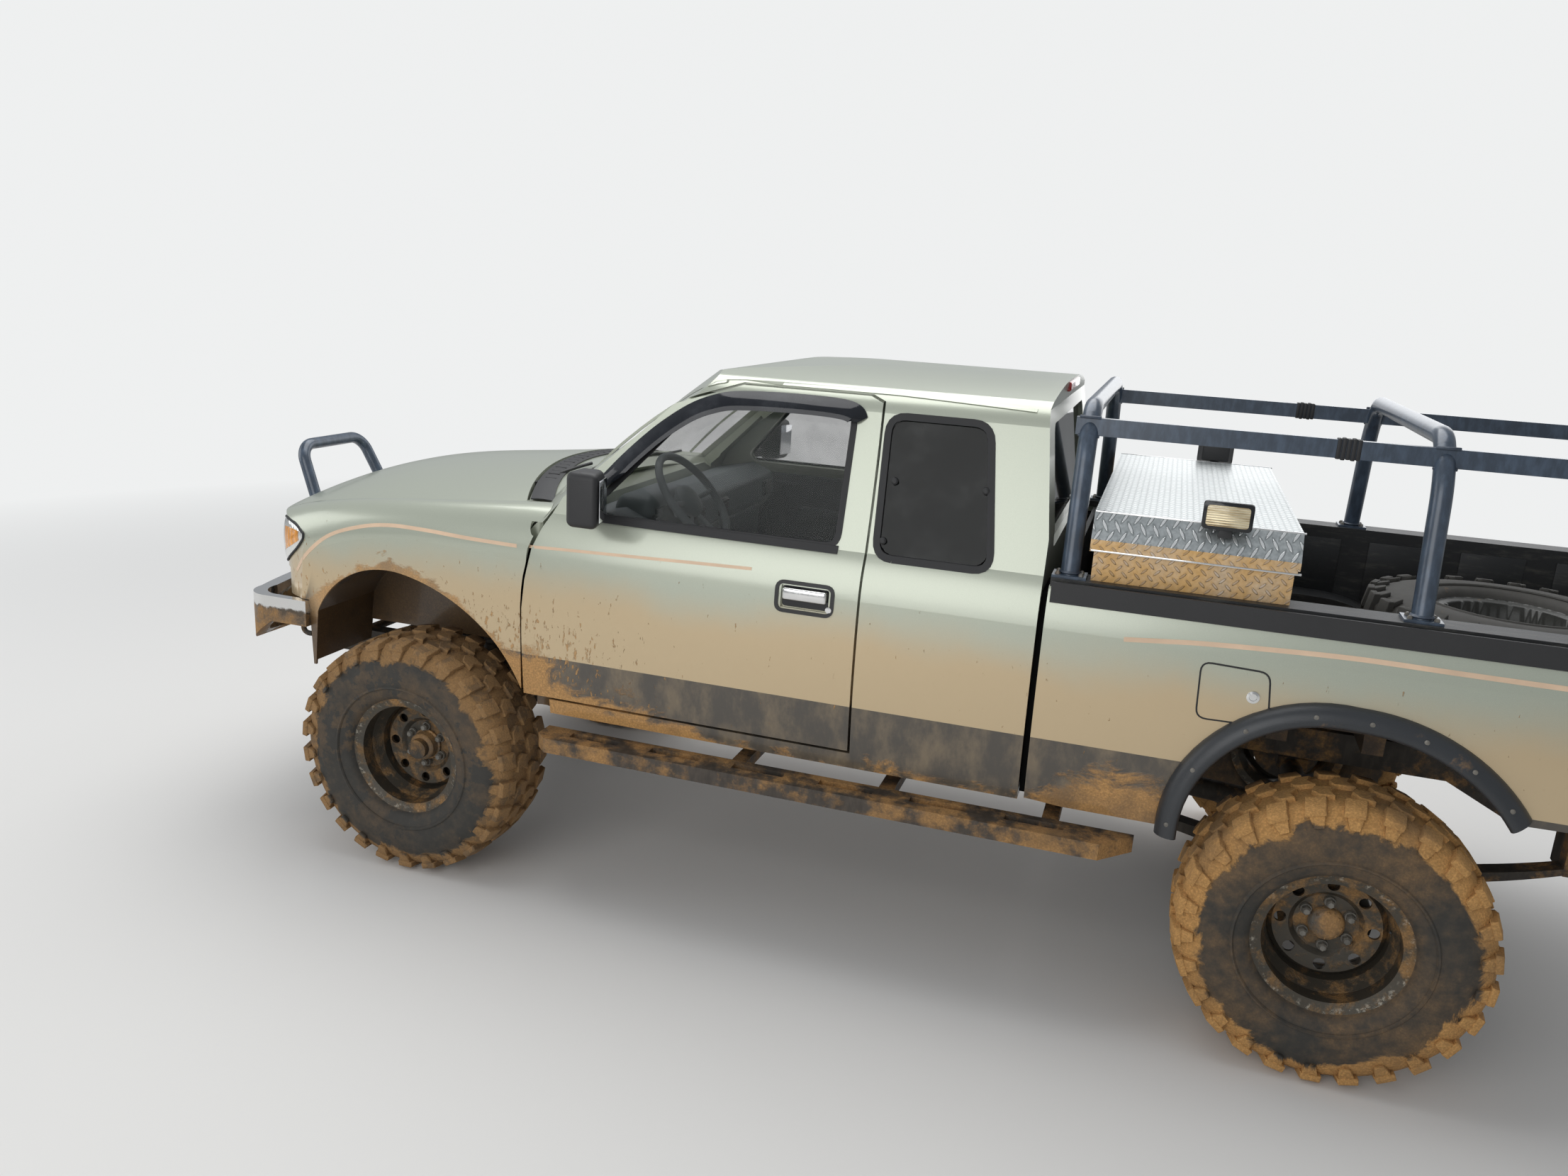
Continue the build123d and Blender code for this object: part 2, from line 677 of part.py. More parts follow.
def make_tailgate():
    x0 = bed_rear_x + 6
    x1 = x0 + tailgate_thickness
    gate = block(x0, x1, -708, 708, tailgate_bottom_z, bed_rail_z + 20)
    recess = block(x1 - 14, x1 + 10, -560, 560, 985, 1235)
    handle = block(x1 - 12, x1 - 2, -110, 110, 1262, 1320)
    gate = gate - recess - block(x1 - 12, x1 + 5, -120, 120, 1256, 1326)
    for side in (-1, 1):
        gate = gate - across(tailgate_hinge_x, tailgate_hinge_z, 7 + seat_gap, side * 690, side * 730)
    return gate + handle


def make_rear():
    nodes = {}
    lamps = []
    for side in (-1, 1):
        lamp = block(bed_rear_x + 63.3, bed_rear_x + 79, side * 724, side * 822, 985, 1300)
        lamps.append(lamp)
    nodes["tail_lamps"] = lamps[0] + lamps[1]
    x0 = rear_axle_x + 1100
    x1 = rear_axle_x + rear_reach
    bar = along_z(polygon([(x0, -790), (x1 - 50, -790), (x1, -620), (x1, 620), (x1 - 50, 790), (x0, 790)]), 690, 850)
    bar = bar - block(x0 - 5, x1 - 14, -760, 760, 680, 836)
    step = block(x0 + 20, x1 + 5, -190, 190, 812, 870)
    bar = bar - step + block(x0 + 10, x1 - 6, -200, 200, 798, 812)
    bar = bar - upright(x0 + 72, 0, 13, 700, 900)
    for side in (-1, 1):
        bar = bar + block(frame_rear_x + seat_gap, x1 - 10, side * (rail_y - 30), side * (rail_y + 30), 730, 790)
    nodes["rear_bumper"] = bar
    return nodes


# Rack of bent round tube with rectangular side rails
rack_hoop_x = [2240.0, 3192.0, 4090.0]
rack_tube = 28.0


def make_rack():
    pieces = []
    foot_z = bed_rail_z + 24
    for x in rack_hoop_x:
        points = [(x, -755, foot_z - 20), (x, -690, 1770), (x, -590, 1868),
                  (x, 590, 1868), (x, 690, 1770), (x, 755, foot_z - 20)]
        pieces.append(bent_tube(points, [260, 100, 100, 260], rack_tube))
        for side in (-1, 1):
            pieces.append(block(x - 50, x + 50, side * 712, side * 792, foot_z, foot_z + 8))
    for side in (-1, 1):
        pieces.append(block(2200, 4130, side * 640, side * 668, 1790, 1842))
    rack = pieces[0]
    for piece in pieces[1:]:
        rack = rack + piece
    return rack - block(2000, 4300, -900, 900, foot_z - 60, foot_z)


# Toolbox
box_front_x = 2302.0
box_rear_x = 2852.0
box_half = 700.0
box_seat_z = bed_rail_z + 24
lid_pivot_x = 2863.0
lamp_x = 2654.0
lamp_y = 765.0
lamp_z = 1611.0
lid_pivot_z = 1478.0


def make_toolbox():
    nodes = {}
    lip_z = 1486.0
    tub = block(box_front_x, box_rear_x, -box_half + 30, box_half - 30, 1120, lip_z)
    wings = block(box_front_x, box_rear_x, -box_half - 70, box_half + 70, box_seat_z, lip_z)
    body = tub & block(2000, 3000, -688, 688, 1000, 2000)
    body = body + wings
    inner = block(box_front_x + 4, box_rear_x - 4, -box_half + 34, box_half - 34, 1124, lip_z + 5)
    wings_inner = block(box_front_x + 4, box_rear_x - 4, -box_half - 66, box_half + 66, box_seat_z + 4, lip_z + 5)
    nodes["toolbox_body"] = body - inner - wings_inner
    # Lid: a shallow pan with sloped ends
    x0 = box_front_x - 12
    x1 = box_rear_x + 12
    z0 = lip_z + 2
    z1 = 1578
    outline = [(-782, z0 - 22), (-782, z0 + 14), (-732, z1), (732, z1), (782, z0 + 14), (782, z0 - 22)]
    lid = along_x(polygon(outline), x0, x1)
    hollow = [(-778, z0 - 30), (-778, z0 + 10), (-728, z1 - 5), (728, z1 - 5), (778, z0 + 10), (778, z0 - 30)]
    lid = lid - along_x(polygon(hollow), x0 + 5, x1 - 5)
    # Piano hinge along the rear: pin on the box, curls on the lid
    lid = lid - block(x1 - 6, x1 + 1, -790, 790, z0 - 30, lid_pivot_z)
    pin = across(lid_pivot_x, lid_pivot_z, 4, -640, 640)
    for y in (-640, -20, 600):
        pin = pin + block(box_rear_x - 2, lid_pivot_x + 4, y, y + 40, lid_pivot_z - 4, lid_pivot_z + 4)
        lid = lid - block(x1 - 6, x1 + 1, y - 6, y + 46, lid_pivot_z - 10, lid_pivot_z + 10)
    nodes["toolbox_body"] = nodes["toolbox_body"] + pin
    for y in (-594, 26):
        curl = across(lid_pivot_x, lid_pivot_z, 8, y, y + 568) + block(x1 - 5, x1, y, y + 568, lid_pivot_z, z0)
        lid = (lid + curl) - across(lid_pivot_x, lid_pivot_z, 4 + seat_gap, -700, 700)
    nodes["toolbox_lid"] = lid
    # Work lamps stand on the lid's sloped ends
    lid_clear = along_x(offset(polygon(outline), amount=seat_gap, kind=Kind.INTERSECTION).face(), x0, x1)
    lamps = []
    for side in (-1, 1):
        housing = Pos(lamp_x, side * lamp_y, lamp_z) * Box(138, 52, 82)
        foot = block(lamp_x - 22, lamp_x + 22, side * (lamp_y - 18), side * (lamp_y + 14), z0 + 20, lamp_z)
        lamps.append(fillet(housing.edges(), 8) + (foot - lid_clear))
    nodes["work_lamps"] = lamps[0] + lamps[1]
    return nodes


# Wheels: a dished steel disc in a deep barrel, and a tyre with the lugs' full height
rim_radius = 200.0
rim_lip = 218.0
rim_half = 122.0
disc_y = 20.0


lug_count = 26
# Rows of lugs: y from, y to, tip radius, turn in pitches
tread_rows = [
    (82, 142, 434.0, 0.0),
    (-142, -82, 434.0, 0.5),
    (8, 74, 440.0, 0.35),
    (-74, -8, 440.0, 0.85),
]


def make_rim(side):
    """Drawn about the origin with the outer face towards +Y, then set by the caller."""
    barrel = closed_path((rim_lip, rim_half), [
        ((rim_lip, rim_half - 10),), ((rim_radius - 6, rim_half - 16),), ((rim_radius - 6, 60),),
        ((rim_radius - 26, 20),), ((rim_radius - 26, -70),), ((rim_radius - 6, -rim_half + 16),),
        ((rim_lip, -rim_half + 10),), ((rim_lip, -rim_half),), ((rim_radius - 12, -rim_half + 4),),
        ((rim_radius - 34, -70),), ((rim_radius - 34, 20),), ((rim_radius - 14, 60),),
        ((rim_radius - 14, rim_half - 10),), ((rim_lip, rim_half),),
    ])
    disc = closed_path((42, -disc_y + 2), [
        ((90, -disc_y + 2),), ((104, -disc_y + 16),), ((150, -disc_y + 22),), ((168, -disc_y + 4),),
        ((168, -disc_y - 4),), ((150, -disc_y + 12),), ((106, -disc_y + 6),), ((92, -disc_y - 10),),
        ((42, -disc_y - 10),), ((42, -disc_y + 2),),
    ])
    solids = []
    for face in (barrel, disc):
        solids.append(Solid.revolve(face, 360, Axis((0, 0, 0), (0, 1, 0))))
    rim = solids[0] + solids[1]
    for index in range(8):
        angle = math.radians(index * 45)
        rim = rim - across(128 * math.cos(angle), 128 * math.sin(angle), 17, -60, 60)
    for index in range(6):
        angle = math.radians(index * 60 + 30)
        rim = rim + across(70 * math.cos(angle), 70 * math.sin(angle), 11, -disc_y, -disc_y + 26)
    return rim


def tread_ring(y0, y1, tip, turn):
    """A ring of tread lugs, drawn as a toothed disc whose roots lie inside the carcass."""
    points = []
    for index in range(lug_count):
        start = (index + turn) * 360 / lug_count
        for part, radius in ((0.0, 400.0), (0.06, tip), (0.56, tip), (0.62, 400.0)):
            angle = math.radians(start + part * 360 / lug_count)
            points.append((radius * math.cos(angle), radius * math.sin(angle)))
    return along_y(polygon(points), y0, y1) - across(0, 0, 396, y0 - 1, y1 + 1)


def make_tyre():
    half = tyre_width / 2
    crown = tyre_radius - 15
    face = closed_path((rim_lip + 1, rim_half - 13), [
        ((300, half + 2), (tyre_radius - 44, half - 14)),
        ((crown - 4, half - 36),),
        ((crown, 0), (crown - 4, -half + 36)),
        ((tyre_radius - 44, -half + 14),),
        ((300, -half - 2), (rim_lip + 1, -rim_half + 13)),
        ((rim_radius - 5.5, -rim_half + 18),),
        ((rim_radius - 5.5, rim_half - 18),),
        ((rim_lip + 1, rim_half - 13),),
    ])
    tyre = Solid.revolve(face, 360, Axis((0, 0, 0), (0, 1, 0)))
    for y0, y1, tip, turn in tread_rows:
        tyre = tyre + tread_ring(y0, y1, tip, turn)
    return tyre


def place_wheel(shape, x, side):
    if side < 0:
        shape = mirror_y(shape)
    return Pos(x, side * wheel_centre_y, hub_height) * shape


def make_chassis():
    nodes = {}
    top = rail_height
    line = [(-720, 600), (-440, 600), (-340, 650), (310, 650), (430, rail_z), (2480, rail_z),
            (2720, 802), (3420, 802), (3620, 700), (frame_rear_x, 700)]
    upper = [(x, z + top) for x, z in reversed(line)]
    rail_line = polygon(line + upper)
    frame = None
    for side in (-1, 1):
        rail = along_y(rail_line, side * (rail_y - rail_width / 2), side * (rail_y + rail_width / 2))
        frame = rail if frame is None else frame + rail
    for x, z in ((-650, 650), (-480, 650), (620, 645), (1500, 690), (2400, 690), (2820, 852), (3420, 852), (4080, 750)):
        frame = frame + across(x, z, 18, -rail_y, rail_y)
    mounts = []
    body_mount_top = floor_z - floor_thickness - seat_gap
    for side in (-1, 1):
        for x in (700, 1400, 2050):
            mounts.append(block(x - 35, x + 35, side * (rail_y - 20), side * (rail_y + 80), rail_z + top - 20,
                                body_mount_top))
        for x, z in ((2360, 710), (3710, 790), (3980, 790)):
            mounts.append(block(x - 30, x + 30, side * (rail_y - 30), side * (rail_y + 30), z, bed_sill_z - seat_gap))
        mounts.append(block(-110, -40, side * 230.3, side * (rail_y - 20), 724, 749))
    for mount in mounts:
        frame = frame + mount
    nodes["ladder_frame"] = frame
    nodes["engine_block"] = block(-420, 260, -230, 230, 720, 1200)
    gear = block(260.3, 900, -95, 95, 690, 850)
    transfer = block(899, 1120, -110, 110, 560, 790)
    shaft = rod((1100, 0, 600), (2936, 0, 470), 38)
    gear = gear + transfer + shaft
    nodes["driveline"] = gear
    pipe = bent_tube([(200, 190, 719.7), (200, 190, 512), (1400, 240, 512), (2300, 240, 540)], [120, 150], 28)
    muffler = lengthways(240, 520, 72, 1540, 2000)
    nodes["exhaust"] = pipe + muffler
    nodes["fuel_tank"] = block(1540, 2340, -(rail_y - rail_width / 2 - seat_gap), -110, 520, 700)
    return nodes


def make_axles():
    nodes = {}
    tube = across(rear_axle_x, hub_height, 42, -(wheel_centre_y - 60), wheel_centre_y - 60)
    diff = Pos(rear_axle_x, 0, hub_height) * Sphere(150)
    pinion = lengthways(0, hub_height + 24, 55, 2941, 3000)
    nodes["rear_axle"] = tube + (diff & block(2942, 3300, -150, 150, 200, 700)) + pinion
    for side in (-1, 1):
        drum = across(rear_axle_x, hub_height, 130, side * (wheel_centre_y - 100), side * (wheel_centre_y - 50))
        flange = across(rear_axle_x, hub_height, 60, side * (wheel_centre_y - 60), side * (wheel_centre_y - hub_face))
        pad = block(rear_axle_x - 55, rear_axle_x + 55, side * 465, side * 535, hub_height, hub_height + 45.7)
        nodes["rear_axle"] = nodes["rear_axle"] + drum + flange + pad
    springs = []
    for side in (-1, 1):
        y0 = side * 470
        y1 = side * 530
        leaf = closed_path((2400, 610), [
            ((rear_axle_x, hub_height + 46), (3760, 620)),
            ((3760, 640),),
            ((rear_axle_x, hub_height + 86), (2400, 632)),
            ((2400, 610),),
        ])
        springs.append(along_y(leaf, y0, y1))
        springs.append(block(2370, 2420, side * 405, y1, 600, 700))
        springs.append(block(3740, 3790, side * 405, y1, 610, 760))
    group = springs[0]
    for piece in springs[1:]:
        group = group + piece
    nodes["leaf_springs"] = group
    # Front: differential, arms and shafts out to the knuckles
    front = block(-110, 110, -170, 120, 420, 600) + across(0, 500, 60, -345, 345)
    for side in (-1, 1):
        tip_y = kingpin_y - 36
        lower = polygon([(-180, side * 345), (180, side * 345), (30, side * 722), (-30, side * 722)])
        lower = along_z(lower, 308, kingpin_bottom - seat_gap)
        upper = polygon([(-90, side * 350), (90, side * 350), (26, side * 722), (-26, side * 722)])
        upper = along_z(upper, kingpin_top + seat_gap, kingpin_top + 25)
        front = front + lower + upper + block(-180, 180, side * 338, side * 360, 308, 649.7)
        front = front + rod((0, side * 190, 500), (0, side * tip_y, 450), 20)
        front = front + rod((66, side * 450, 320), (66, side * 450, 890), 28)
    nodes["front_suspension"] = front
    return nodes


kingpin_y = 700.0
kingpin_bottom = 335.0
kingpin_top = 560.0
hub_face = 30.3


def make_knuckle(side):
    post = upright(0, side * kingpin_y, 29, kingpin_bottom, kingpin_top)
    shield = across(0, hub_height, 100, side * (wheel_centre_y - 72), side * (wheel_centre_y - 52))
    hub = across(0, hub_height, 60, side * kingpin_y, side * (wheel_centre_y - hub_face))
    nose = across(0, hub_height, 36, side * (wheel_centre_y - 35), side * (wheel_centre_y + 52))
    return post + shield + hub + nose


def make_inside():
    nodes = {}
    profile = [(517.3, 1040), (517.3, 1345), (700, 1385), (790, 1350), (800, 1250), (740, 1180), (720, 1040)]
    dash = along_y(polygon(profile, 25), -715, 715)
    tip = Vector(*wheel_centre)
    lean = Vector(math.cos(column_angle), 0, math.sin(column_angle))
    column_hole = Solid.make_cylinder(20 + seat_gap, 400, Plane(origin=tip - lean * 400, z_dir=lean))
    wheel_space = Solid.make_cylinder(210, 80, Plane(origin=tip - lean * 40, z_dir=lean))
    nodes["dashboard"] = dash - column_hole - wheel_space
    seats = None
    for side in (-1, 1):
        y0 = side * 160
        y1 = side * 650
        base = along_y(polygon([(1080, 800), (1080, 1010), (1600, 975), (1600, 800)], 40), y0, y1)
        back = along_y(polygon([(1490, 985), (1600, 960), (1750, 1540), (1640, 1570)], 35), y0, y1)
        head = along_y(polygon([(1660, 1585), (1745, 1570), (1790, 1735), (1705, 1750)], 30), side * 285, side * 525)
        stalk = rod((1705, side * 405, 1540), (1735, side * 405, 1600), 12)
        foot = block(1120, 1560, side * 200, side * 600, floor_z + seat_gap, 805)
        seat = base + back + head + stalk + foot
        seats = seat if seats is None else seats + seat
    nodes["seats"] = seats
    return nodes


wheel_centre = (872.0, -400.0, 1409.0)
column_angle = math.radians(40.0)


def make_steering_wheel():
    plane = Plane(origin=wheel_centre, x_dir=(0, 1, 0), z_dir=(math.cos(column_angle), 0, math.sin(column_angle)))
    rim = Solid.make_torus(178, 14, plane)
    hub = Solid.make_cylinder(48, 40, Plane(origin=plane.origin - plane.z_dir * 50, z_dir=plane.z_dir))
    wheel = rim + hub
    for angle in (0, 180, 270):
        direction = plane.x_dir * math.cos(math.radians(angle)) + plane.y_dir * math.sin(math.radians(angle))
        wheel = wheel + rod(plane.origin + direction * 30 - plane.z_dir * 30, plane.origin + direction * 170, 9)
    column = Solid.make_cylinder(20, 160, Plane(origin=plane.origin - plane.z_dir * 200, z_dir=plane.z_dir))
    return wheel + column


def make_steps():
    steps = None
    for side in (-1, 1):
        outline = [(569, side * 930), (2430, side * 930), (2526, side * 827),
                   (2526, side * 815), (528, side * 815), (528, side * 890)]
        step = along_z(polygon(outline), 565, 617)
        for index in range(6):
            x = 640 + index * 300
            step = step - block(x, x + 180, side * 842, side * 880, 600, 630)
        for x in (1240, 1750, 2273):
            step = step + block(x - 25, x + 25, side * (rail_y + rail_width / 2), side * 830, 572, 612)
            rail_side = side * (rail_y + rail_width / 2)
            step = step + block(x - 35, x + 35, rail_side, rail_side + side * 10, 572, 715)
        steps = step if steps is None else steps + step
    return steps


def build_all():
    nodes = {}
    nodes.update(make_cab())
    nodes.update(make_glass())
    for side, name in ((-1, "left"), (1, "right")):
        nodes["door_" + name], nodes["door_glass_" + name] = make_door(side)
        nodes["mirror_" + name] = make_mirror(side)
    nodes.update(make_front())
    nodes.update(make_face_pieces())
    nodes["front_bumper"] = make_bumper()
    nodes["front_hoop"] = make_hoop()
    nodes.update(make_bed())
    nodes["tailgate"] = make_tailgate()
    nodes.update(make_rear())
    nodes["bed_rack"] = make_rack()
    nodes.update(make_toolbox())
    rim = make_rim(1)
    tyre = make_tyre()
    for end, x in (("front", 0.0), ("rear", rear_axle_x)):
        for side, name in ((-1, "left"), (1, "right")):
            nodes["rim_" + end + "_" + name] = place_wheel(rim, x, side)
            nodes["tyre_" + end + "_" + name] = place_wheel(tyre, x, side)
    spare = Rot(90, 0, 0) * (tyre + rim)
    lift = bed_floor_z + seat_gap - spare.bounding_box().min.Z
    nodes["spare_wheel"] = Pos(3600, 0, lift) * spare
    nodes.update(make_chassis())
    nodes.update(make_axles())
    for side, name in ((-1, "left"), (1, "right")):
        nodes["knuckle_" + name] = make_knuckle(side)
    nodes.update(make_inside())
    nodes["steering_wheel"] = make_steering_wheel()
    nodes["side_steps"] = make_steps()
    return nodes


def main():
    os.makedirs("parts", exist_ok=True)
    shift = Location((frame_shift, 0, 0))
    for name, shape in build_all().items():
        export_step(shift * shape, "parts/" + name + ".step")


main()
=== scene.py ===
"""Looks of a lifted off-road pickup truck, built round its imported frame."""

import math

import bpy
from mathutils import Matrix, Vector


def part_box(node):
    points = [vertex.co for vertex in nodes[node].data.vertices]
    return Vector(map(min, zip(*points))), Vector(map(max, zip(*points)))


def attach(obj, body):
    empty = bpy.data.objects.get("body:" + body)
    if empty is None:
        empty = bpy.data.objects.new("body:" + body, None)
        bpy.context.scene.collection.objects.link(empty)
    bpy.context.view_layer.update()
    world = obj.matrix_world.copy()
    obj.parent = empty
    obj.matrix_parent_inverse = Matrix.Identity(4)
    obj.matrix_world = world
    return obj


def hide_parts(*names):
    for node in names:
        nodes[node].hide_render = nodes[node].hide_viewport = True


bl_info = {
    "name": "Off-road pickup",
    "version": (1, 0, 0),
    "blender": (4, 5, 0),
    "location": "3D view > Sidebar > Pickup",
    "description": "Builds the visible pieces of a lifted four-wheel-drive pickup",
    "category": "Object",
}

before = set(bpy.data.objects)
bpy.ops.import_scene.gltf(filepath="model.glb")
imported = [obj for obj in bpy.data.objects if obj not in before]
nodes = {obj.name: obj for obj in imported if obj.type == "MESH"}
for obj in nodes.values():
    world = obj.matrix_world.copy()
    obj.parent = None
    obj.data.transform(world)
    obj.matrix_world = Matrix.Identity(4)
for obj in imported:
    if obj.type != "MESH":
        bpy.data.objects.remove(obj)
SIDES = (("left", -1), ("right", 1))


def middle(node):
    low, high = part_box(node)
    return (low + high) / 2


front_x = middle("tyre_front_left").x
rear_x = middle("tyre_rear_left").x
hub_z = middle("tyre_front_left").z
wheel_y = abs(middle("tyre_front_left").y)
tyre_radius = (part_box("tyre_front_left")[1].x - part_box("tyre_front_left")[0].x) / 2
tyre_half = (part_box("tyre_front_left")[1].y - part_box("tyre_front_left")[0].y) / 2


def along(x):
    """A place along the truck, given in metres behind the front axle."""
    return front_x + x


# Finishes


class Finish:
    """A material being mixed from node patterns on Object coordinates."""

    def __init__(self, name, colour, roughness=0.5, metallic=0.0, **fixed):
        self.made = bpy.data.materials.new(name)
        self.made.use_nodes = True
        self.made.diffuse_color = (*colour, 1)
        self.tree = self.made.node_tree
        self.shader = self.tree.nodes["Principled BSDF"]
        self.shader.inputs["Base Color"].default_value = (*colour, 1)
        self.shader.inputs["Roughness"].default_value = roughness
        self.shader.inputs["Metallic"].default_value = metallic
        for socket, value in fixed.items():
            self.shader.inputs[socket.replace("_", " ")].default_value = value
        self.coords = self.add("ShaderNodeTexCoord")
        self.place = self.coords.outputs["Object"]
        split = self.add("ShaderNodeSeparateXYZ", Vector=self.place)
        self.x, self.y, self.z = split.outputs

    def add(self, kind, settings=None, **inputs):
        node = self.tree.nodes.new(kind)
        for key, value in (settings or {}).items():
            setattr(node, key, value)
        for key, value in inputs.items():
            self.plug(node.inputs[key.replace("_", " ")], value)
        return node

    def plug(self, socket, value):
        if isinstance(value, bpy.types.NodeSocket):
            self.tree.links.new(value, socket)
        elif isinstance(value, (tuple, list)) and len(value) == 3 and socket.type == "RGBA":
            socket.default_value = (*value, 1)
        else:
            socket.default_value = value

    def sum(self, operation, a, b=0.0, c=0.0, clamp=False):
        node = self.add("ShaderNodeMath", {"operation": operation, "use_clamp": clamp})
        for socket, value in zip(node.inputs, (a, b, c)):
            self.plug(socket, value)
        return node.outputs[0]

    def plus(self, a, b, clamp=False):
        return self.sum("ADD", a, b, clamp=clamp)

    def less(self, a, b, clamp=False):
        return self.sum("SUBTRACT", a, b, clamp=clamp)

    def times(self, a, b, clamp=False):
        return self.sum("MULTIPLY", a, b, clamp=clamp)

    def most(self, a, b):
        return self.sum("MAXIMUM", a, b)

    def absolute(self, a):
        return self.sum("ABSOLUTE", a)

    def fade(self, value, start, end, low=0.0, high=1.0):
        node = self.add("ShaderNodeMapRange", {"interpolation_type": "SMOOTHSTEP"}, Value=value)
        for key, number in (("From Min", start), ("From Max", end), ("To Min", low), ("To Max", high)):
            node.inputs[key].default_value = number
        return node.outputs[0]

    def mix(self, share, a, b):
        node = self.add("ShaderNodeMix", {"data_type": "RGBA"})
        self.plug(node.inputs[0], share)
        self.plug(node.inputs[6], a)
        self.plug(node.inputs[7], b)
        return node.outputs[2]

    def level(self, share, a, b):
        """A number that runs from a to b."""
        return self.sum("MULTIPLY_ADD", share, b - a, a)

    def noise(self, scale, detail=3.0, roughness=0.5, stretch=None, distortion=0.0):
        place = self.place
        if stretch:
            place = self.add("ShaderNodeMapping", Vector=self.place, Scale=stretch).outputs[0]
        node = self.add("ShaderNodeTexNoise", Vector=place, Scale=scale, Detail=detail,
                        Roughness=roughness, Distortion=distortion)
        return node.outputs[0]

    def cells(self, scale, feature="F1", stretch=None):
        place = self.place
        if stretch:
            place = self.add("ShaderNodeMapping", Vector=self.place, Scale=stretch).outputs[0]
        node = self.add("ShaderNodeTexVoronoi", {"feature": feature}, Vector=place, Scale=scale)
        return node.outputs[0]

    def colour(self, value):
        self.plug(self.shader.inputs["Base Color"], value)

    def rough(self, value):
        self.plug(self.shader.inputs["Roughness"], value)

    def metal(self, value):
        self.plug(self.shader.inputs["Metallic"], value)

    def relief(self, height, distance, strength=1.0):
        node = self.add("ShaderNodeBump", Height=height, Distance=distance, Strength=strength)
        previous = self.shader.inputs["Normal"]
        if previous.is_linked:
            self.plug(node.inputs["Normal"], previous.links[0].from_socket)
        self.plug(previous, node.outputs[0])

    def caked(self, base, share, rough=0.4, dry=0.9, damp_and_shade=0.0):
        """Mud over a base colour: colour, roughness and thickness of the cake."""
        look = bpy.context.scene.pickup_look
        blotch = self.noise(14.0, 6.0, 0.7)
        grit = self.noise(160.0, 3.0, 0.6)
        mud = self.mix(blotch, tuple(c * 0.62 for c in look.mud_colour), tuple(look.mud_colour))
        mud = self.mix(self.fade(grit, 0.35, 0.8), mud, tuple(min(1, c * 1.35) for c in look.mud_colour))
        # Dark wet mud in random patches and where the damp argument asks; on the front tyres this darkening is
        # painted shade
        wet_and_shade = self.most(damp_and_shade, self.fade(self.noise(3.4, 5.0, 0.62), 0.47, 0.68, 0.0, 0.62))
        mud = self.mix(wet_and_shade, mud, (0.135, 0.088, 0.048))
        self.colour(self.mix(share, base, mud))
        self.rough(self.level(share, rough, dry))
        self.relief(self.times(share, self.plus(grit, blotch)), 0.004, 0.7)
        return share


def wheel_distance(finish):
    """Distance from the nearest axle, seen from the side."""
    front = finish.absolute(finish.less(finish.x, front_x))
    rear = finish.absolute(finish.less(finish.x, rear_x))
    across = finish.sum("MINIMUM", front, rear)
    up = finish.less(finish.z, hub_z)
    return finish.sum("SQRT", finish.sum("MULTIPLY_ADD", across, across, finish.times(up, up)))


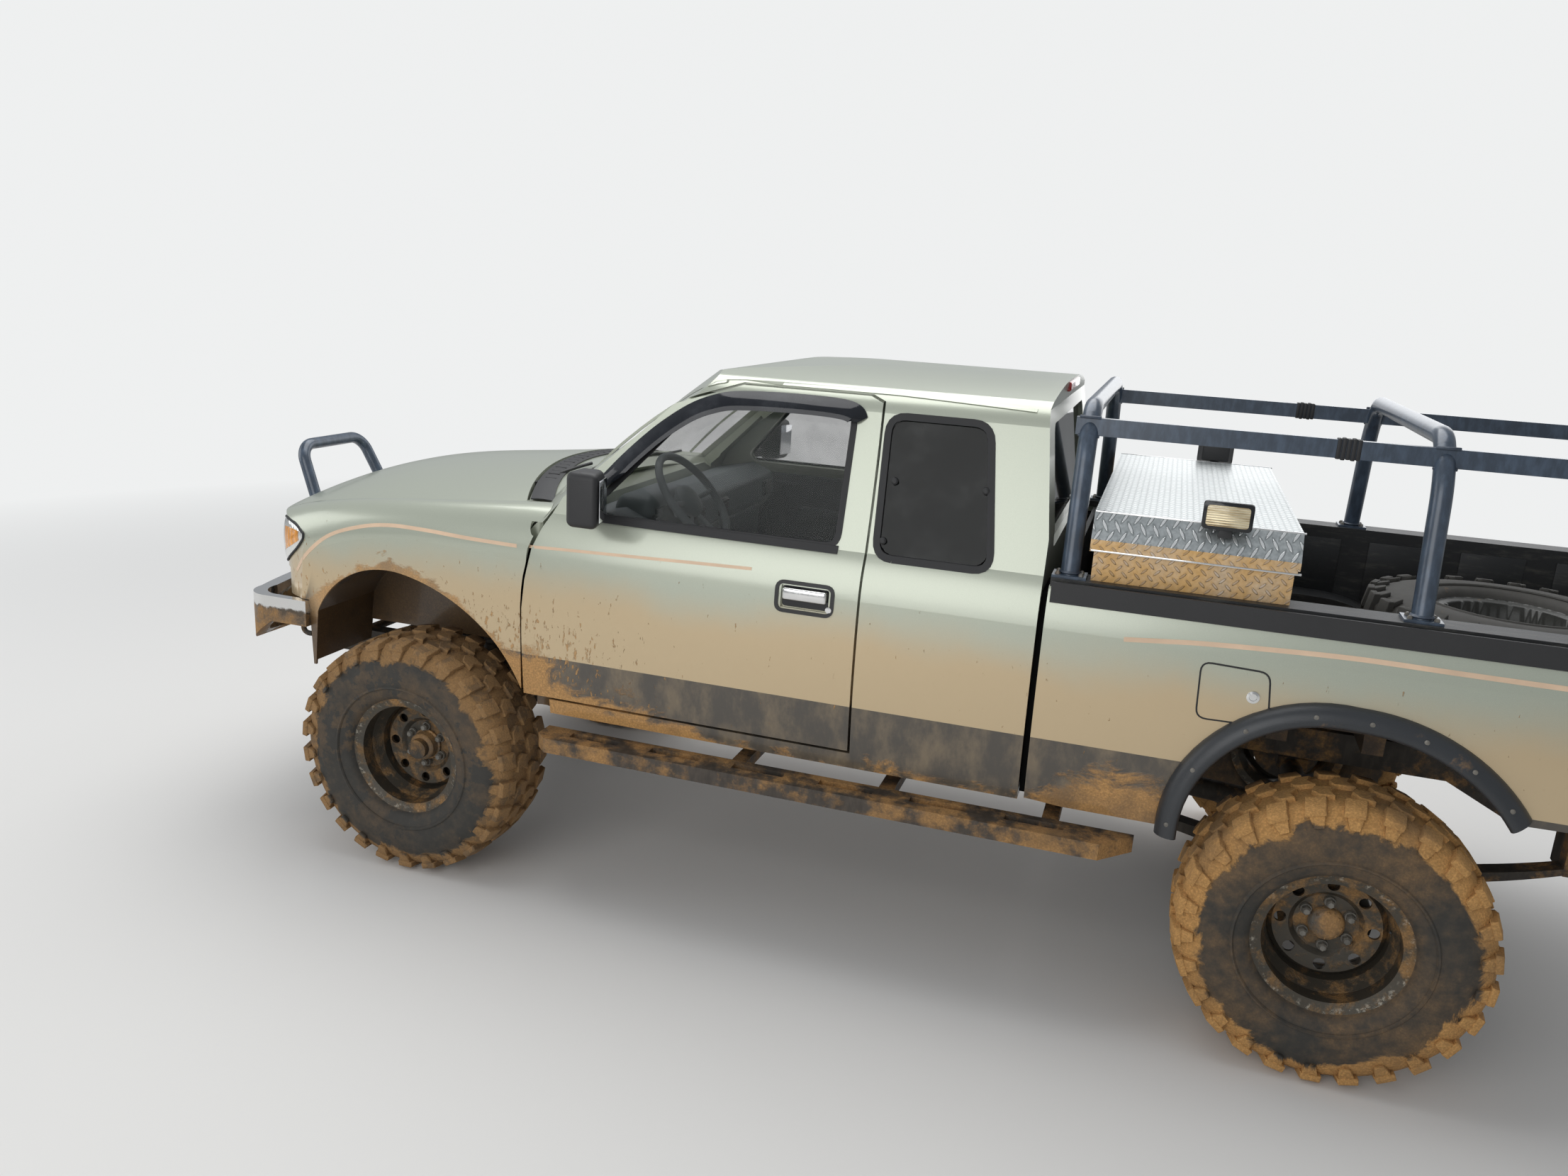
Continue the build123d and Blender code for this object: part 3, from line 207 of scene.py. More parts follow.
def body_paint(two_tone=True):
    look = bpy.context.scene.pickup_look
    finish = Finish("body_paint" if two_tone else "upper_paint", look.paint_colour, 0.3, 0.4,
                    Coat_Weight=0.5, Coat_Roughness=0.12)
    base = tuple(look.paint_colour)
    flake = finish.noise(900.0, 2.0, 0.6)
    cloudy = finish.noise(2.2, 4.0, 0.6)
    colour = finish.mix(finish.fade(flake, 0.3, 0.7), tuple(c * 0.93 for c in base),
                        tuple(c * 1.05 for c in base))
    side = finish.fade(finish.absolute(finish.y), 0.70, 0.80)
    # Warm tan on the lower sides: dust, and a painted reflection of the muddy ground
    dust = finish.fade(finish.sum("MULTIPLY_ADD", cloudy, 0.16, finish.z), 1.31, 1.13)
    dust = finish.times(dust, side)
    colour = finish.mix(finish.times(dust, 0.84), colour, tuple(look.dust_and_ground_reflection_colour))
    lower = finish.fade(finish.sum("MULTIPLY_ADD", finish.x, -0.004, finish.z), 0.8835, 0.8815)
    if not two_tone:
        lower = finish.fade(finish.z, 0.5, 0.4)
    smudge = finish.noise(11.0, 5.0, 0.65, stretch=(1.0, 1.0, 0.5))
    dirty_lower = finish.mix(finish.fade(smudge, 0.4, 0.75), tuple(look.lower_colour),
                             tuple(c * 0.6 + d * 0.25 for c, d in zip(look.lower_colour, look.dust_and_ground_reflection_colour)))
    colour = finish.mix(lower, colour, dirty_lower)
    # Mud thrown up behind each wheel, thickest low down
    behind_front = finish.fade(finish.x, along(1.15), along(0.40))
    by_rear = finish.fade(finish.absolute(finish.less(finish.x, along(2.55))), 0.55, 0.05)
    reach = finish.plus(finish.times(behind_front, 0.20), finish.times(by_rear, 0.13))
    top = finish.plus(reach, 0.70)
    depth = finish.times(finish.less(top, finish.z), 5.5)
    splash = finish.noise(6.5, 9.0, 0.68, stretch=(0.75, 1.0, 1.25), distortion=0.5)
    share = finish.fade(finish.plus(depth, finish.times(splash, 3.0)), 1.55, 1.95)
    drops = finish.noise(75.0, 4.0, 0.62, stretch=(1.1, 1.0, 0.42))
    high = finish.times(finish.fade(finish.z, 1.24, 0.86), finish.fade(finish.x, along(1.25), along(0.40)))
    spots = finish.fade(finish.sum("MULTIPLY_ADD", high, 0.155, drops), 0.70, 0.74)
    spots = finish.times(spots, side)
    share = finish.most(share, finish.times(spots, 0.8))
    share = finish.times(share, finish.fade(finish.z, 1.3, 1.2), clamp=True)
    # Nearly black inner wheel housings with little mud, and a crust of mud along the arch lips
    arch = wheel_distance(finish)
    rim_line = finish.fade(finish.x, along(-0.10), along(0.40), 0.805, 0.675)
    crust = finish.fade(finish.less(finish.sum("MULTIPLY_ADD", splash, 0.24, arch), rim_line), 0.022, -0.004)
    crust = finish.times(crust, finish.fade(finish.x, along(0.6), along(0.4), 0.0, 0.85))
    share = finish.most(share, crust)
    nearest = finish.absolute(finish.less(finish.x, front_x))
    reach = finish.fade(nearest, 0.42, 0.50, 0.80, 0.71)
    inner = finish.fade(finish.absolute(finish.y), 0.826, 0.812)
    housing = finish.times(finish.fade(finish.less(arch, reach), 0.01, -0.01), inner)
    housing = finish.times(housing, finish.fade(finish.z, 1.22, 1.19))
    colour = finish.mix(housing, colour, (0.018, 0.015, 0.012))
    share = finish.times(share, finish.level(housing, 1.0, 0.22))
    finish.caked(colour, share, 0.3, 0.9)
    finish.metal(finish.level(finish.most(finish.most(share, lower), housing), 0.4, 0.0))
    return finish.made


def rubber(spare=False):
    look = bpy.context.scene.pickup_look
    finish = Finish("spare_rubber" if spare else "tyre_rubber", look.rubber_colour, 0.75)
    wear = finish.noise(30.0, 5.0, 0.6)
    base = finish.mix(wear, tuple(c * 0.8 for c in look.rubber_colour),
                      tuple(c * 1.7 for c in look.rubber_colour))
    if spare:
        share = finish.fade(finish.noise(9.0, 6.0, 0.6), 0.66, 0.8, 0.0, 0.5)
    else:
        radius = wheel_distance(finish)
        patch = finish.noise(5.0, 8.0, 0.66, distortion=0.6)
        share = finish.fade(finish.sum("MULTIPLY_ADD", patch, 0.20, radius), 0.455, 0.475)
        film = finish.fade(finish.sum("MULTIPLY_ADD", wear, 0.6, finish.noise(3.0, 4.0)), 0.6, 1.2, 0.0, 0.35)
        share = finish.most(share, film)
    clods = finish.noise(11.0, 6.0, 0.7)
    # Front tyres carry less and darker mud: painted shade
    front = finish.fade(finish.x, along(1.0), along(0.6), 0.0, 0.45)
    bare = finish.times(finish.fade(clods, 0.50, 0.60), front)
    share = finish.less(share, bare, clamp=True)
    finish.caked(base, share, 0.72, 0.92, finish.times(front, 1.3))
    return finish.made


def wheel_steel():
    finish = Finish("wheel_steel", (0.06, 0.06, 0.052), 0.45, 0.5)
    radius = wheel_distance(finish)
    scratch = finish.noise(55.0, 6.0, 0.7, stretch=(1, 0.3, 1))
    lip = finish.fade(radius, 0.190, 0.212)
    bare = finish.times(finish.fade(scratch, 0.52, 0.66), lip)
    base = finish.mix(bare, (0.055, 0.055, 0.048), (0.34, 0.32, 0.27))
    patch = finish.noise(13.0, 7.0, 0.65)
    share = finish.fade(patch, 0.46, 0.66, 0.05, 0.62)
    finish.caked(base, share, 0.42, 0.88)
    return finish.made


def steel_paint(name, colour, roughness, coat, muddy):
    """Painted or bare steel of the frame, rack, hoop and steps."""
    finish = Finish(name, colour, roughness, 0.1, Coat_Weight=coat, Coat_Roughness=0.2)
    patch = finish.noise(8.0, 8.0, 0.66)
    streak = finish.noise(45.0, 5.0, 0.6, stretch=(1, 1, 0.35))
    base = finish.mix(finish.fade(streak, 0.35, 0.75), tuple(c * 0.75 for c in colour),
                      tuple(c * 1.35 for c in colour))
    share = finish.fade(patch, 0.72 - muddy * 0.42, 0.82 - muddy * 0.3, 0.0, 0.25 + 0.7 * muddy)
    finish.caked(base, share, roughness, 0.9)
    return finish.made


def tread_plate():
    """Bright aluminium plate with raised lozenges, given a painted highlight and painted shadow rims; its ends
    carry orange dust and a painted reflection of the ground.
    """
    finish = Finish("tread_plate", (0.74, 0.75, 0.74), 0.3, 0.9)
    normal = finish.add("ShaderNodeSeparateXYZ", Vector=finish.coords.outputs["Normal"])
    facing_x = finish.fade(finish.absolute(normal.outputs[0]), 0.6, 0.62)
    facing_z = finish.fade(finish.absolute(normal.outputs[2]), 0.35, 0.37)
    u = finish.plus(finish.times(finish.x, finish.less(1.0, facing_x)), finish.times(finish.y, facing_x))
    v = finish.plus(finish.times(finish.z, finish.less(1.0, facing_z)), finish.times(finish.y, facing_z))
    pitch = 0.036
    bars = None
    shade = None
    for turn, shift in ((1.0, 0.0), (-1.0, 0.5)):
        du = finish.less(finish.sum("FRACT", finish.sum("MULTIPLY_ADD", u, 1 / pitch, shift)), 0.5)
        dv = finish.less(finish.sum("FRACT", finish.sum("MULTIPLY_ADD", v, 1 / pitch, shift)), 0.5)
        long = finish.times(finish.sum("MULTIPLY_ADD", dv, turn, du), 0.7071 / 0.36)
        thin = finish.times(finish.sum("MULTIPLY_ADD", dv, -turn, du), 0.7071 / 0.105)
        oval = finish.sum("MULTIPLY_ADD", long, long, finish.times(thin, thin))
        bar = finish.fade(oval, 1.0, 0.5)
        ring = finish.times(finish.fade(oval, 2.4, 1.2), finish.fade(oval, 0.7, 1.0))
        bars = bar if bars is None else finish.most(bars, bar)
        shade = ring if shade is None else finish.most(shade, ring)
    scuff = finish.noise(70.0, 5.0, 0.7)
    base = finish.mix(finish.fade(scuff, 0.35, 0.7), (0.44, 0.47, 0.47), (0.58, 0.61, 0.61))
    # Painted shadow in a rim round each lozenge
    base = finish.mix(finish.times(shade, 0.6), base, (0.22, 0.24, 0.24))
    # Painted highlight on the lozenges
    base = finish.mix(finish.times(bars, 0.85), base, (0.93, 0.94, 0.93))
    ends = finish.less(1.0, facing_z)
    ends = finish.times(ends, finish.fade(finish.absolute(finish.y), 0.60, 0.64))
    # Upright end faces: orange dust and a painted reflection of the muddy ground
    dust_and_reflection_share = finish.times(finish.fade(finish.noise(9.0, 5.0, 0.6), 0.15, 0.75, 0.45, 0.95), ends)
    orange_dust_and_reflection = finish.mix(finish.fade(scuff, 0.35, 0.7), (0.60, 0.35, 0.11), (0.70, 0.43, 0.16))
    # Lozenges darker on the ends: painted shade
    orange_dust_and_reflection = finish.mix(finish.times(bars, 0.6), orange_dust_and_reflection, (0.26, 0.135, 0.03))
    finish.colour(finish.mix(dust_and_reflection_share, base, orange_dust_and_reflection))
    finish.metal(finish.level(dust_and_reflection_share, 0.9, 0.55))
    finish.rough(finish.sum("MULTIPLY_ADD", scuff, 0.18, finish.level(dust_and_reflection_share, 0.26, 0.42)))
    finish.relief(bars, 0.0022, 1.0)
    return finish.made


def plain_glass(name, tint, clear, roughness=0.03, shine=0.4):
    """Window glass: a thin tinted pane that the light passes."""
    finish = Finish(name, tint, roughness, 0.0, Specular_IOR_Level=shine)
    smear = finish.noise(7.0, 5.0, 0.6)
    finish.colour(finish.mix(finish.fade(smear, 0.45, 0.8), tint,
                             tuple(min(1, c * 1.6 + 0.02) for c in tint)))
    finish.plug(finish.shader.inputs["Alpha"],
                finish.fade(smear, 0.3, 0.9, 1.0 - clear, min(1.0, 1.08 - clear)))
    return finish.made


def moulded(name, colour, roughness=0.6, grain=380.0, muddy=0.0):
    """Moulded plastic with a fine leather grain."""
    finish = Finish(name, colour, roughness)
    pores = finish.cells(grain)
    fade = finish.noise(6.0, 5.0, 0.6)
    base = finish.mix(fade, tuple(c * 0.75 for c in colour), tuple(c * 1.3 for c in colour))
    if muddy:
        share = finish.fade(finish.noise(8.0, 8.0, 0.66), 0.74 - muddy * 0.4, 0.84 - muddy * 0.3, 0.0,
                            0.3 + 0.6 * muddy)
        finish.caked(base, share, roughness, 0.92)
    else:
        finish.colour(base)
        finish.rough(finish.sum("MULTIPLY_ADD", fade, 0.15, roughness - 0.07))
    finish.relief(pores, 0.0004, 0.6)
    return finish.made


def plating():
    """Bumper chrome under dried mud: bright along the top edge."""
    finish = Finish("muddy_chrome", (0.75, 0.75, 0.74), 0.15, 1.0)
    patch = finish.noise(7.0, 8.0, 0.66)
    front = finish.fade(finish.x, along(-0.2), along(-0.3))
    low = finish.level(front, 0.815, 0.0)
    low = finish.sum("MULTIPLY_ADD", front, 0.905, low)
    low = finish.fade(finish.less(finish.z, low), 0.012, -0.03)
    share = finish.fade(finish.sum("MULTIPLY_ADD", low, 0.24, patch), 0.60, 0.80, 0.02, 0.96)
    stain = finish.fade(finish.sum("MULTIPLY_ADD", low, 0.5, finish.noise(19.0, 6.0, 0.7)), 0.72, 0.90)
    base = finish.mix(stain, (0.75, 0.75, 0.74), (0.070, 0.052, 0.034))
    finish.caked(base, share, 0.15, 0.9, finish.times(low, 0.35))
    finish.metal(finish.level(finish.most(share, stain), 1.0, 0.0))
    return finish.made


def bright(name="bright_metal", colour=(0.8, 0.8, 0.79), roughness=0.12):
    finish = Finish(name, colour, roughness, 1.0)
    scuff = finish.noise(60.0, 5.0, 0.6)
    finish.rough(finish.sum("MULTIPLY_ADD", scuff, 0.16, roughness - 0.04))
    finish.colour(finish.mix(scuff, tuple(c * 0.85 for c in colour), colour))
    return finish.made


def liner_plastic():
    """Black load-bed liner: coarse grain, scratches and dust on its floor."""
    finish = Finish("bed_liner", (0.02, 0.021, 0.022), 0.55)
    pores = finish.cells(420.0)
    scratch = finish.noise(38.0, 6.0, 0.7, stretch=(0.2, 1, 1))
    base = finish.mix(finish.fade(scratch, 0.5, 0.75), (0.016, 0.017, 0.018), (0.06, 0.058, 0.05))
    dust = finish.times(finish.fade(finish.z, 1.1, 0.97),
                        finish.fade(finish.noise(6.0, 6.0, 0.6), 0.4, 0.7, 0.1, 0.55))
    finish.caked(base, dust, 0.5, 0.9)
    finish.relief(pores, 0.0005, 0.6)
    return finish.made


def cloth(name, colour, thread=0.0016):
    """Woven seat cloth with a soft sheen."""
    finish = Finish(name, colour, 0.9, 0.0, Sheen_Weight=0.35, Sheen_Roughness=0.5)
    warp = finish.sum("SINE", finish.times(finish.plus(finish.x, finish.z), 3.1416 / thread))
    weft = finish.sum("SINE", finish.times(finish.y, 3.1416 / thread))
    weave = finish.times(warp, weft)
    fuzz = finish.noise(220.0, 3.0, 0.6)
    base = finish.mix(finish.fade(weave, -0.6, 0.8), tuple(c * 0.7 for c in colour),
                      tuple(c * 1.35 for c in colour))
    finish.colour(finish.mix(finish.fade(fuzz, 0.3, 0.8, 0.0, 0.4), base, tuple(c * 1.8 for c in colour)))
    finish.relief(finish.plus(weave, fuzz), 0.0005, 0.5)
    return finish.made


def lamp_plastic(name, colour):
    """Ribbed lamp lens."""
    finish = Finish(name, colour, 0.08, 0.0, Coat_Weight=0.8, IOR=1.5)
    ribs = finish.sum("SINE", finish.times(finish.y, 520.0))
    finish.colour(finish.mix(finish.fade(ribs, -1.0, 1.0), tuple(c * 0.72 for c in colour), colour))
    finish.relief(ribs, 0.0012, 0.7)
    return finish.made


made_finishes = {}


def work_lens():
    """Ribbed glass of the box's lamps over a tarnished reflector."""
    finish = Finish("work_lens", (0.58, 0.46, 0.26), 0.14, 0.45, Coat_Weight=1.0, Coat_Roughness=0.04)
    ribs = finish.sum("SINE", finish.times(finish.z, 900.0))
    blot = finish.noise(26.0, 4.0, 0.6, stretch=(0.5, 1, 2.2))
    base = finish.mix(finish.fade(blot, 0.35, 0.65), (0.34, 0.24, 0.11), (0.78, 0.66, 0.42))
    finish.colour(finish.mix(finish.fade(ribs, 0.2, 0.9, 0.0, 0.5), base, (0.88, 0.80, 0.60)))
    finish.relief(ribs, 0.0008, 0.8)
    return finish.made


def headlamp_lens():
    """Clear fluted cover over a silvered bowl, yellowed a little by age, with painted shading in a ring and at
    the centre for the bowl's depth.
    """
    finish = Finish("headlamp_lens", (0.72, 0.73, 0.72), 0.12, 0.55, Coat_Weight=1.0, Coat_Roughness=0.03)
    across = finish.less(finish.absolute(finish.y), 0.600)
    up = finish.less(finish.z, 1.118)
    radius = finish.sum("SQRT", finish.sum("MULTIPLY_ADD", across, across, finish.times(up, up)))
    ring = finish.times(finish.fade(radius, 0.058, 0.066), finish.fade(radius, 0.078, 0.070))
    shaded_centre = finish.fade(radius, 0.020, 0.012)
    flute = finish.sum("SINE", finish.times(finish.plus(finish.y, finish.x), 620.0))
    haze = finish.noise(16.0, 5.0, 0.6)
    base = finish.mix(haze, (0.66, 0.67, 0.65), (0.82, 0.82, 0.79))
    # Dark ring and centre: painted shading of the bowl
    base = finish.mix(finish.most(ring, shaded_centre), base, (0.10, 0.10, 0.10))
    base = finish.mix(finish.fade(finish.z, 1.075, 1.045), base, (0.42, 0.33, 0.22))
    finish.colour(base)
    finish.relief(flute, 0.0006, 0.6)
    return finish.made


def finish_for(key):
    """Each finish is made once and shared by its pieces."""
    look = bpy.context.scene.pickup_look
    makers = {
        "paint": body_paint,
        "tyre": rubber,
        "spare": lambda: rubber(True),
        "wheel": wheel_steel,
        # Rack blue: paint, and partly a painted reflection of the sky
        "rack": lambda: steel_paint("rack_paint_and_sky", tuple(look.rack_and_sky_colour), 0.34, 0.5, 0.05),
        "frame": lambda: steel_paint("frame_steel", (0.045, 0.038, 0.03), 0.7, 0.0, 0.55),
        "step": lambda: steel_paint("step_steel", (0.055, 0.044, 0.034), 0.6, 0.1, 0.72),
        "plate": tread_plate,
        "glass": lambda: plain_glass("window_glass", (0.03, 0.035, 0.032), 0.82),
        "dark_glass": lambda: plain_glass("smoked_glass", (0.006, 0.007, 0.006), 0.25),
        "trim": lambda: moulded("black_plastic", (0.022, 0.022, 0.023), 0.5),
        "flare": lambda: moulded("flare_plastic", (0.03, 0.033, 0.037), 0.35, 500.0, 0.35),
        "liner": liner_plastic,
        "chrome": plating,
        "bright": bright,
        "dash": lambda: moulded("dash_plastic", (0.10, 0.115, 0.12), 0.6),
        "seat": lambda: cloth("seat_cloth", (0.05, 0.052, 0.058)),
        "body": lambda: body_paint(False),
        "nut": lambda: steel_paint("nut_steel", (0.16, 0.15, 0.13), 0.4, 0.1, 0.25),
        "hub": lambda: steel_paint("hub_steel", (0.10, 0.09, 0.075), 0.5, 0.1, 0.7),
        "spring": lambda: steel_paint("spring_steel", (0.05, 0.045, 0.04), 0.5, 0.1, 0.5),
        "disc": lambda: bright("brake_steel", (0.30, 0.27, 0.23), 0.35),
        # Weld blue matches the rack: partly a painted reflection of the sky
        "rack_weld": lambda: steel_paint("weld_paint_and_sky", (0.040, 0.055, 0.080), 0.5, 0.2, 0.1),
        "rubber_trim": lambda: moulded("seal_rubber", (0.014, 0.014, 0.015), 0.55, 700.0),
        # Matte black, unreflecting finish: painted shadow for the gap between cab and bed
        "gap": lambda: Finish("painted_gap_shadow", (0.006, 0.006, 0.006), 1.0, 0.0, Specular_IOR_Level=0.0).made,
        "gloss_black": lambda: moulded("gloss_black", (0.012, 0.013, 0.015), 0.12, 60.0),
        "visor": lambda: plain_glass("smoked_visor", (0.012, 0.014, 0.018), 0.06, 0.07),
        "tint_glass": lambda: plain_glass("tint_glass", (0.004, 0.005, 0.004), 0.10, 0.03, 0.22),
        "mirror": lambda: bright("mirror_glass", (0.85, 0.86, 0.88), 0.02),
        # Peach film: painted highlight along the body crease
        "crease_highlight": lambda: moulded("painted_crease_highlight", (0.72, 0.52, 0.36), 0.35, 900.0),
        "card": lambda: moulded("door_card", (0.055, 0.058, 0.062), 0.7),
        "spare_steel": lambda: moulded("spare_steel", (0.055, 0.055, 0.050), 0.42, 120.0, 0.2),
        "work_lens": work_lens,
        "lamp": lambda: lamp_plastic("clear_lens", (0.78, 0.74, 0.66)),
        "headlamp": headlamp_lens,
        "pad": lambda: moulded("hood_felt", (0.018, 0.018, 0.019), 0.95, 900.0),
        "bottle": lambda: moulded("bottle_plastic", (0.50, 0.50, 0.44), 0.45, 500.0, 0.2),
        "amber": lambda: lamp_plastic("amber_lens", (0.85, 0.33, 0.02)),
        "red": lambda: lamp_plastic("red_lens", (0.5, 0.015, 0.01)),
    }
    if key not in made_finishes:
        made_finishes[key] = makers[key]()
    return made_finishes[key]


def dress(node, key):
    """Gives a solid its finish."""
    mesh = nodes[node].data
    mesh.materials.clear()
    mesh.materials.append(finish_for(key))


# Settings


def tint(name, default, note):
    return bpy.props.FloatVectorProperty(name=name, description=note, subtype="COLOR",
                                         default=default, min=0, max=1)


class PICKUP_PG_look(bpy.types.PropertyGroup):
    """Sizes and colours of the pickup's visible pieces."""

    paint_colour: tint("Paint", (0.47, 0.50, 0.41), "Silver-sage paint of cab and bed")
    lower_colour: tint("Lower band", (0.070, 0.060, 0.048), "Dark band below the doors' crease")
    # Dust, and a painted warm reflection of the ground on the lower sides
    dust_and_ground_reflection_colour: tint("Dust", (0.60, 0.44, 0.25), "Dry dust on the lower body")
    mud_colour: tint("Mud", (0.46, 0.25, 0.085), "Orange clay mud")
    rubber_colour: tint("Rubber", (0.028, 0.026, 0.022), "Tyre rubber")
    lug_count: bpy.props.IntProperty(name="Tread pitches", description="Lugs round each tyre edge",
                                     default=26, min=16, max=40)
    # Blue-black paint, its blue partly a painted reflection of the sky
    rack_and_sky_colour: tint("Rack", (0.050, 0.072, 0.105), "Blue-black paint of rack and hoop")


# Modelling helpers


def clear_selection():
    if bpy.context.object and bpy.context.object.mode != "OBJECT":
        bpy.ops.object.mode_set(mode="OBJECT")
    bpy.ops.object.select_all(action="DESELECT")


def only(piece):
    clear_selection()
    piece.select_set(True)
    bpy.context.view_layer.objects.active = piece
    return piece


def settle(piece, name, body, key, angle=35, replaces=()):
    """Puts a finished piece's place in its mesh, shades it, and makes it ride."""
    only(piece)
    if piece.type != "MESH":
        bpy.ops.object.convert(target="MESH")
        piece = bpy.context.object
    bpy.ops.object.transform_apply(location=True, rotation=True, scale=True)
    piece.name = piece.data.name = name
    face_out()
    bpy.ops.object.shade_smooth_by_angle(angle=math.radians(angle))
    piece.data.materials.clear()
    piece.data.materials.append(finish_for(key))
    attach(piece, body)
    if replaces:
        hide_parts(*replaces)
    return piece


def modifier(piece, kind, **values):
    only(piece)
    made = piece.modifiers.new(kind.title(), kind)
    for key, value in values.items():
        setattr(made, key, value)
    bpy.ops.object.modifier_apply(modifier=made.name)
    return piece


def joined(parts):
    """Several parts made one mesh."""
    clear_selection()
    for part in parts:
        part.select_set(True)
    bpy.context.view_layer.objects.active = parts[0]
    if len(parts) > 1:
        bpy.ops.object.join()
    return bpy.context.object


def to_side(piece, sign):
    """Mirrors a mesh drawn on the right side of the truck when it belongs on the left."""
    if sign < 0:
        piece.data.transform(Matrix.Scale(-1, 4, (0, 1, 0)))


def copied(piece, flip_y=False):
    """A copy with its own mesh, mirrored across the truck if asked."""
    only(piece)
    bpy.ops.object.duplicate(linked=False)
    twin = bpy.context.object
    if flip_y:
        to_side(twin, -1)
        twin.data.flip_normals()
    return twin


def face_out(weld=0.0):
    """Turns all faces of the active mesh outward, with its near points welded first if asked."""
    bpy.ops.object.mode_set(mode="EDIT")
    bpy.ops.mesh.select_all(action="SELECT")
    if weld:
        bpy.ops.mesh.remove_doubles(threshold=weld)
    bpy.ops.mesh.normals_make_consistent(inside=False)
    bpy.ops.object.mode_set(mode="OBJECT")


def drawn_out(push):
    """Extrudes all of the active mesh by a vector."""
    bpy.ops.object.mode_set(mode="EDIT")
    bpy.ops.mesh.select_all(action="SELECT")
    bpy.ops.mesh.extrude_region_move(TRANSFORM_OT_translate={"value": push})
    bpy.ops.object.mode_set(mode="OBJECT")


def thickened(piece, axis, thickness, offset=-1.0):
    """Turns an open sheet's faces against an axis, then gives it a thickness."""
    if sum(getattr(face.normal, axis) * face.area for face in piece.data.polygons) > 0:
        piece.data.flip_normals()
    modifier(piece, "SOLIDIFY", thickness=thickness, offset=offset)
    return piece


def bar(low, high, bevel=0.004, segments=2, taper=None):
    """A soft-edged bar between two corners; taper draws its upper face in along x and y."""
    clear_selection()
    low, high = Vector(low), Vector(high)
    bpy.ops.mesh.primitive_cube_add(size=1, location=(low + high) / 2)
    piece = bpy.context.object
    piece.scale = high - low
    bpy.ops.object.transform_apply(location=True, rotation=True, scale=True)
    if taper:
        centre = (low + high) / 2
        for point in piece.data.vertices:
            if point.co.z > centre.z:
                point.co.x = centre.x + (point.co.x - centre.x) * taper[0]
                point.co.y = centre.y + (point.co.y - centre.y) * taper[1]
    if bevel:
        modifier(piece, "BEVEL", width=bevel, segments=segments)
    return piece


def plate(outline, axis, start, thickness, bevel=0.0, segments=2):
    """A flat plate with a drawn outline, square to x, y or z."""
    clear_selection()
    bpy.ops.mesh.primitive_circle_add(vertices=len(outline), radius=1, fill_type="NGON")
    piece = bpy.context.object
    for point, (a, b) in zip(piece.data.vertices, outline):
        point.co = {"x": (start, a, b), "y": (a, start, b), "z": (a, b, start)}[axis]
    drawn_out({"x": (thickness, 0, 0), "y": (0, thickness, 0), "z": (0, 0, thickness)}[axis])
    face_out()
    if bevel:
        modifier(piece, "BEVEL", width=bevel, segments=segments, limit_method="ANGLE", angle_limit=0.6)
    return piece


def turned(profile, centre, axis="y", steps=32):
    """Spins (place along the axis, radius) points round the axis; a closed ring if the ends meet."""
    clear_selection()
    bpy.ops.mesh.primitive_circle_add(vertices=3, radius=1, fill_type="NOTHING")
    piece = bpy.context.object
    mesh = piece.data
    mesh.clear_geometry()
    centre = Vector(centre)
    spin_axis = {"x": Vector((1, 0, 0)), "y": Vector((0, 1, 0)), "z": Vector((0, 0, 1))}[axis]
    out = {"x": Vector((0, 0, 1)), "y": Vector((0, 0, 1)), "z": Vector((1, 0, 0))}[axis]
    points = [centre + spin_axis * a + out * r for a, r in profile]
    mesh.from_pydata(points, [(i, i + 1) for i in range(len(points) - 1)], [])
    bpy.ops.object.mode_set(mode="EDIT")
    bpy.ops.mesh.select_all(action="SELECT")
    bpy.ops.mesh.spin(steps=steps, angle=2 * math.pi, center=centre, axis=spin_axis)
    bpy.ops.object.mode_set(mode="OBJECT")
    face_out(0.0001)
    return piece


def tube(points, radius, closed=False, order=3, resolution=6, ring=3):
    """A round tube through control points."""
    clear_selection()
    bpy.ops.curve.primitive_nurbs_path_add()
    piece = bpy.context.object
    curve = piece.data
    curve.splines.clear()
    spline = curve.splines.new("NURBS")
    spline.points.add(len(points) - 1)
    for knot, place in zip(spline.points, points):
        knot.co = (*place, 1)
    spline.use_cyclic_u = closed
    spline.order_u = order
    spline.use_endpoint_u = not closed
    spline.resolution_u = resolution
    curve.dimensions = "3D"
    curve.bevel_depth = radius
    curve.bevel_resolution = ring
    curve.use_fill_caps = True
    only(piece)
    bpy.ops.object.convert(target="MESH")
    return bpy.context.object


def skin(names, x, z, side, deepest=0.3):
    """How far out a solid's surface lies at a place on the side of the truck."""
    best = None
    for name in names:
        hit, place, _, _ = nodes[name].ray_cast(Vector((x, side * 1.2, z)), Vector((0, -side, 0)))
        if hit and abs(place.y) > deepest and (best is None or abs(place.y) > abs(best)):
            best = place.y
    return best


def sheet(columns, rows, place, closed=False):
    """A grid whose points go where place(column, row) says; closed joins its last column to its first."""
    clear_selection()
    bpy.ops.mesh.primitive_grid_add(x_subdivisions=columns, y_subdivisions=rows, size=1)
    piece = bpy.context.object
    for point in piece.data.vertices:
        column = round((point.co.x + 0.5) * columns)
        row = round((point.co.y + 0.5) * rows)
        point.co = place(column % columns if closed else column, row)
    if closed:
        bpy.ops.object.mode_set(mode="EDIT")
        bpy.ops.mesh.select_all(action="SELECT")
        bpy.ops.mesh.remove_doubles(threshold=0.00002)
        bpy.ops.mesh.fill_holes(sides=0)
        bpy.ops.mesh.normals_make_consistent(inside=False)
        bpy.ops.object.mode_set(mode="OBJECT")
    return piece


